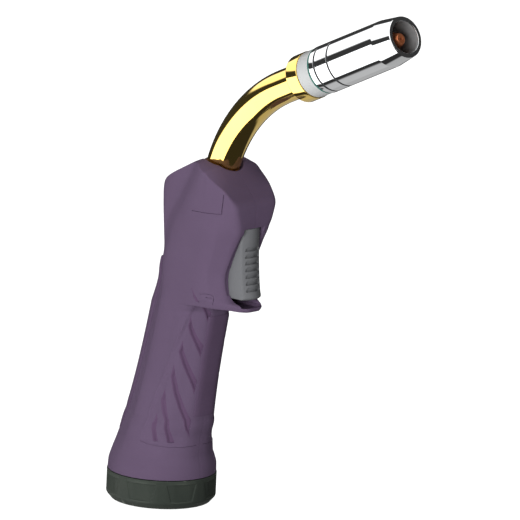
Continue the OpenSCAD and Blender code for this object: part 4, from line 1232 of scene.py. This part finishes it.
reach = [skinOver(x, z) - 1.1 for x, z in screws["at"]]
foot = screws["seat"] + 1.0
setOn("torch_screw_seats", boss("seat", roundedOutline([
    (screws["hole"], foot, 0), (3.7, foot, 0), (3.7, 0.15, 0.2), (1.5, 0.15, 0.1), (1.5, screws["seat"] - 0.02, 0.1),
    (screws["hole"], screws["seat"] - 0.02, 0.1)])),
    guide("seatPlaces", places), finishes["shell_plastic"], "handle", ["handle_shell_left"])
setOn("torch_screw_wells", boss("well", [(screws["hole"], 0), (3.7, 0), (3.7, 1), (screws["hole"], 1)]),
      guide("wellPlaces", [(x, foot, z) for x, _, z in places], stretches=[(1, r - foot, 1) for r in reach]),
      finishes["shell_plastic"], "handle", ["handle_shell_left"])
setOn("torch_screw_posts", boss("post", [(1.45, 0.15), (3.7, 0.15), (3.7, 9.5), (1.45, 9.5)]),
      guide("postPlaces", places, [(0, 0, math.pi)] * 4), finishes["shell_plastic"], "handle",
      ["handle_shell_right"])
print("screws and their bosses placed")

# the pieces that come straight from the frame take their finish by slot
for name, piece in sorted(nodes.items()):
    for i, material in enumerate(piece.data.materials):
        piece.data.materials[i] = finishes[material.name.split(".")[0]]


# floor, soft light from the side, and what the bright metal sees round it
studio = {
    "floorRadius": 30.0, "floorTone": (0.86, 0.86, 0.86), "floorSun": 3.8,
    "middle": (0.055, 0, 0.12), "keyFrom": (0.42, -0.92, 0.03), "keyAway": 1.6, "keySize": 1.2, "keyPower": 40.5,
    "fillFrom": (-0.55, 0.84, -0.02), "fillPower": 30.0,
    "ambient": 0.25, "around": 1.0,
    "sky": 1.6, "skyFrom": (0.14, 0.2), "skyUpto": (0.2, 0.3), "band": 0.04, "bandFrom": (-0.12, -0.075),
    "card": 2.5, "cardEdge": -0.34, "cardTurn": -1.5, "cardSoft": 0.03, "below": 0.03, "behind": 0.42, "deep": 0.09,
}


def addFloor(s):
    sides = 96
    ways = [2 * math.pi * k / sides for k in range(sides)]
    mesh = bpy.data.meshes.new("studioFloor")
    mesh.from_pydata([(s["floorRadius"] * math.cos(a), s["floorRadius"] * math.sin(a), -0.0004) for a in ways], [],
                     [tuple(range(sides))])
    material = bpy.data.materials.new("paleFloor")
    material.use_nodes = True
    shader = material.node_tree.nodes["Principled BSDF"]
    shader.inputs["Base Color"].default_value = (*s["floorTone"], 1)
    shader.inputs["Roughness"].default_value = 0.9
    shader.inputs["Specular IOR Level"].default_value = 0.0
    mesh.materials.append(material)
    floor = bpy.data.objects.new("studioFloor", mesh)
    scene.collection.objects.link(floor)
    floor.visible_glossy = floor.visible_diffuse = False
    return floor


# a lamp that lights the floor only, or everything but the floor
def addLamp(name, kind, start, towards, floor, onFloor, **settings):
    data = bpy.data.lights.new(name, kind)
    for key, value in settings.items():
        setattr(data, key, value)
    lamp = bpy.data.objects.new(name, data)
    look = (Vector(start) - Vector(towards)).to_track_quat("Z", "Y")
    lamp.matrix_world = Matrix.Translation(start) @ look.to_matrix().to_4x4()
    scene.collection.objects.link(lamp)
    lit = bpy.data.collections.new(name + "Lights")
    lit.objects.link(floor)
    lit.collection_objects[0].light_linking.link_state = "INCLUDE" if onFloor else "EXCLUDE"
    lamp.light_linking.receiver_collection = lit
    lamp.visible_glossy = lamp.visible_camera = False
    return lamp


def addStudio(s):
    floor = addFloor(s)
    sun = addLamp("floorSun", "SUN", (0, 0, 3), (0, 0, 0), floor, True, energy=s["floorSun"], angle=0.5)
    unseen = bpy.data.collections.new("floorSunBlockers")
    unseen.objects.link(floor)
    sun.light_linking.blocker_collection = unseen
    middle = Vector(s["middle"])
    away = Vector(s["keyFrom"]).normalized() * s["keyAway"]
    addLamp("keyLight", "AREA", middle + away, middle, floor, False, shape="DISK", size=s["keySize"],
            energy=s["keyPower"])
    away = Vector(s["fillFrom"]).normalized() * s["keyAway"]
    addLamp("fillLight", "AREA", middle + away, middle, floor, False, shape="DISK", size=s["keySize"],
            energy=s["fillPower"])

    world = bpy.data.worlds.new("studioAir")
    world.use_nodes = True
    tree = world.node_tree
    tree.nodes.clear()
    way = node(tree, "ShaderNodeSeparateXYZ", {0: node(tree, "ShaderNodeTexCoord").outputs["Generated"]}).outputs
    x, y, z = way[0], way[1], way[2]

    def m(operation, a, b=0.0):
        return calc(tree, operation, a, b)

    def step(value, low, high):
        return node(tree, "ShaderNodeMapRange", {0: value, 1: low, 2: high, 3: 0.0, 4: 1.0},
                    interpolation_type="SMOOTHSTEP").outputs[0]
    open = m("MULTIPLY", step(z, *s["skyFrom"]), m("SUBTRACT", 1.0, step(y, *s["skyUpto"])))
    above = m("ADD", m("MULTIPLY", open, s["sky"] - s["band"]), s["band"])
    limit = m("ADD", m("MULTIPLY", m("MAXIMUM", x, 0.0), s["cardTurn"]), s["cardEdge"])
    card = m("SUBTRACT", 1.0, step(m("SUBTRACT", y, limit), -s["cardSoft"], s["cardSoft"]))
    deep = m("MULTIPLY", m("SUBTRACT", 1.0, step(z, -0.88, -0.82)), m("SUBTRACT", 1.0, step(x, -0.28, -0.2)))
    behind = m("MULTIPLY", step(m("ADD", y, m("MULTIPLY", deep, 0.2)), 0.02, 0.16), m("SUBTRACT", 1.0, step(x, 0.0, 0.1)))
    behind = m("MULTIPLY", behind, m("SUBTRACT", 1.0, step(z, -0.55, -0.45)))
    behind = m("MULTIPLY", behind, m("ADD", 1.0, m("MULTIPLY", deep, s["deep"] / s["behind"])))
    under = m("ADD", m("MULTIPLY", card, s["card"]), m("ADD", m("MULTIPLY", behind, s["behind"]), s["below"]))
    share = step(z, *s["bandFrom"])
    seen = m("ADD", m("MULTIPLY", above, share), m("MULTIPLY", under, m("SUBTRACT", 1.0, share)))
    path = node(tree, "ShaderNodeLightPath").outputs
    plain = m("ADD", m("MULTIPLY", path["Is Camera Ray"], s["around"] - s["ambient"]), s["ambient"])
    glossy = path["Is Glossy Ray"]
    strength = m("ADD", m("MULTIPLY", seen, glossy), m("MULTIPLY", plain, m("SUBTRACT", 1.0, glossy)))
    back = node(tree, "ShaderNodeBackground", {"Color": (1, 1, 1, 1), "Strength": strength})
    node(tree, "ShaderNodeOutputWorld", {"Surface": back.outputs[0]})
    scene.world = world


addStudio(studio)
print("floor and lights set")
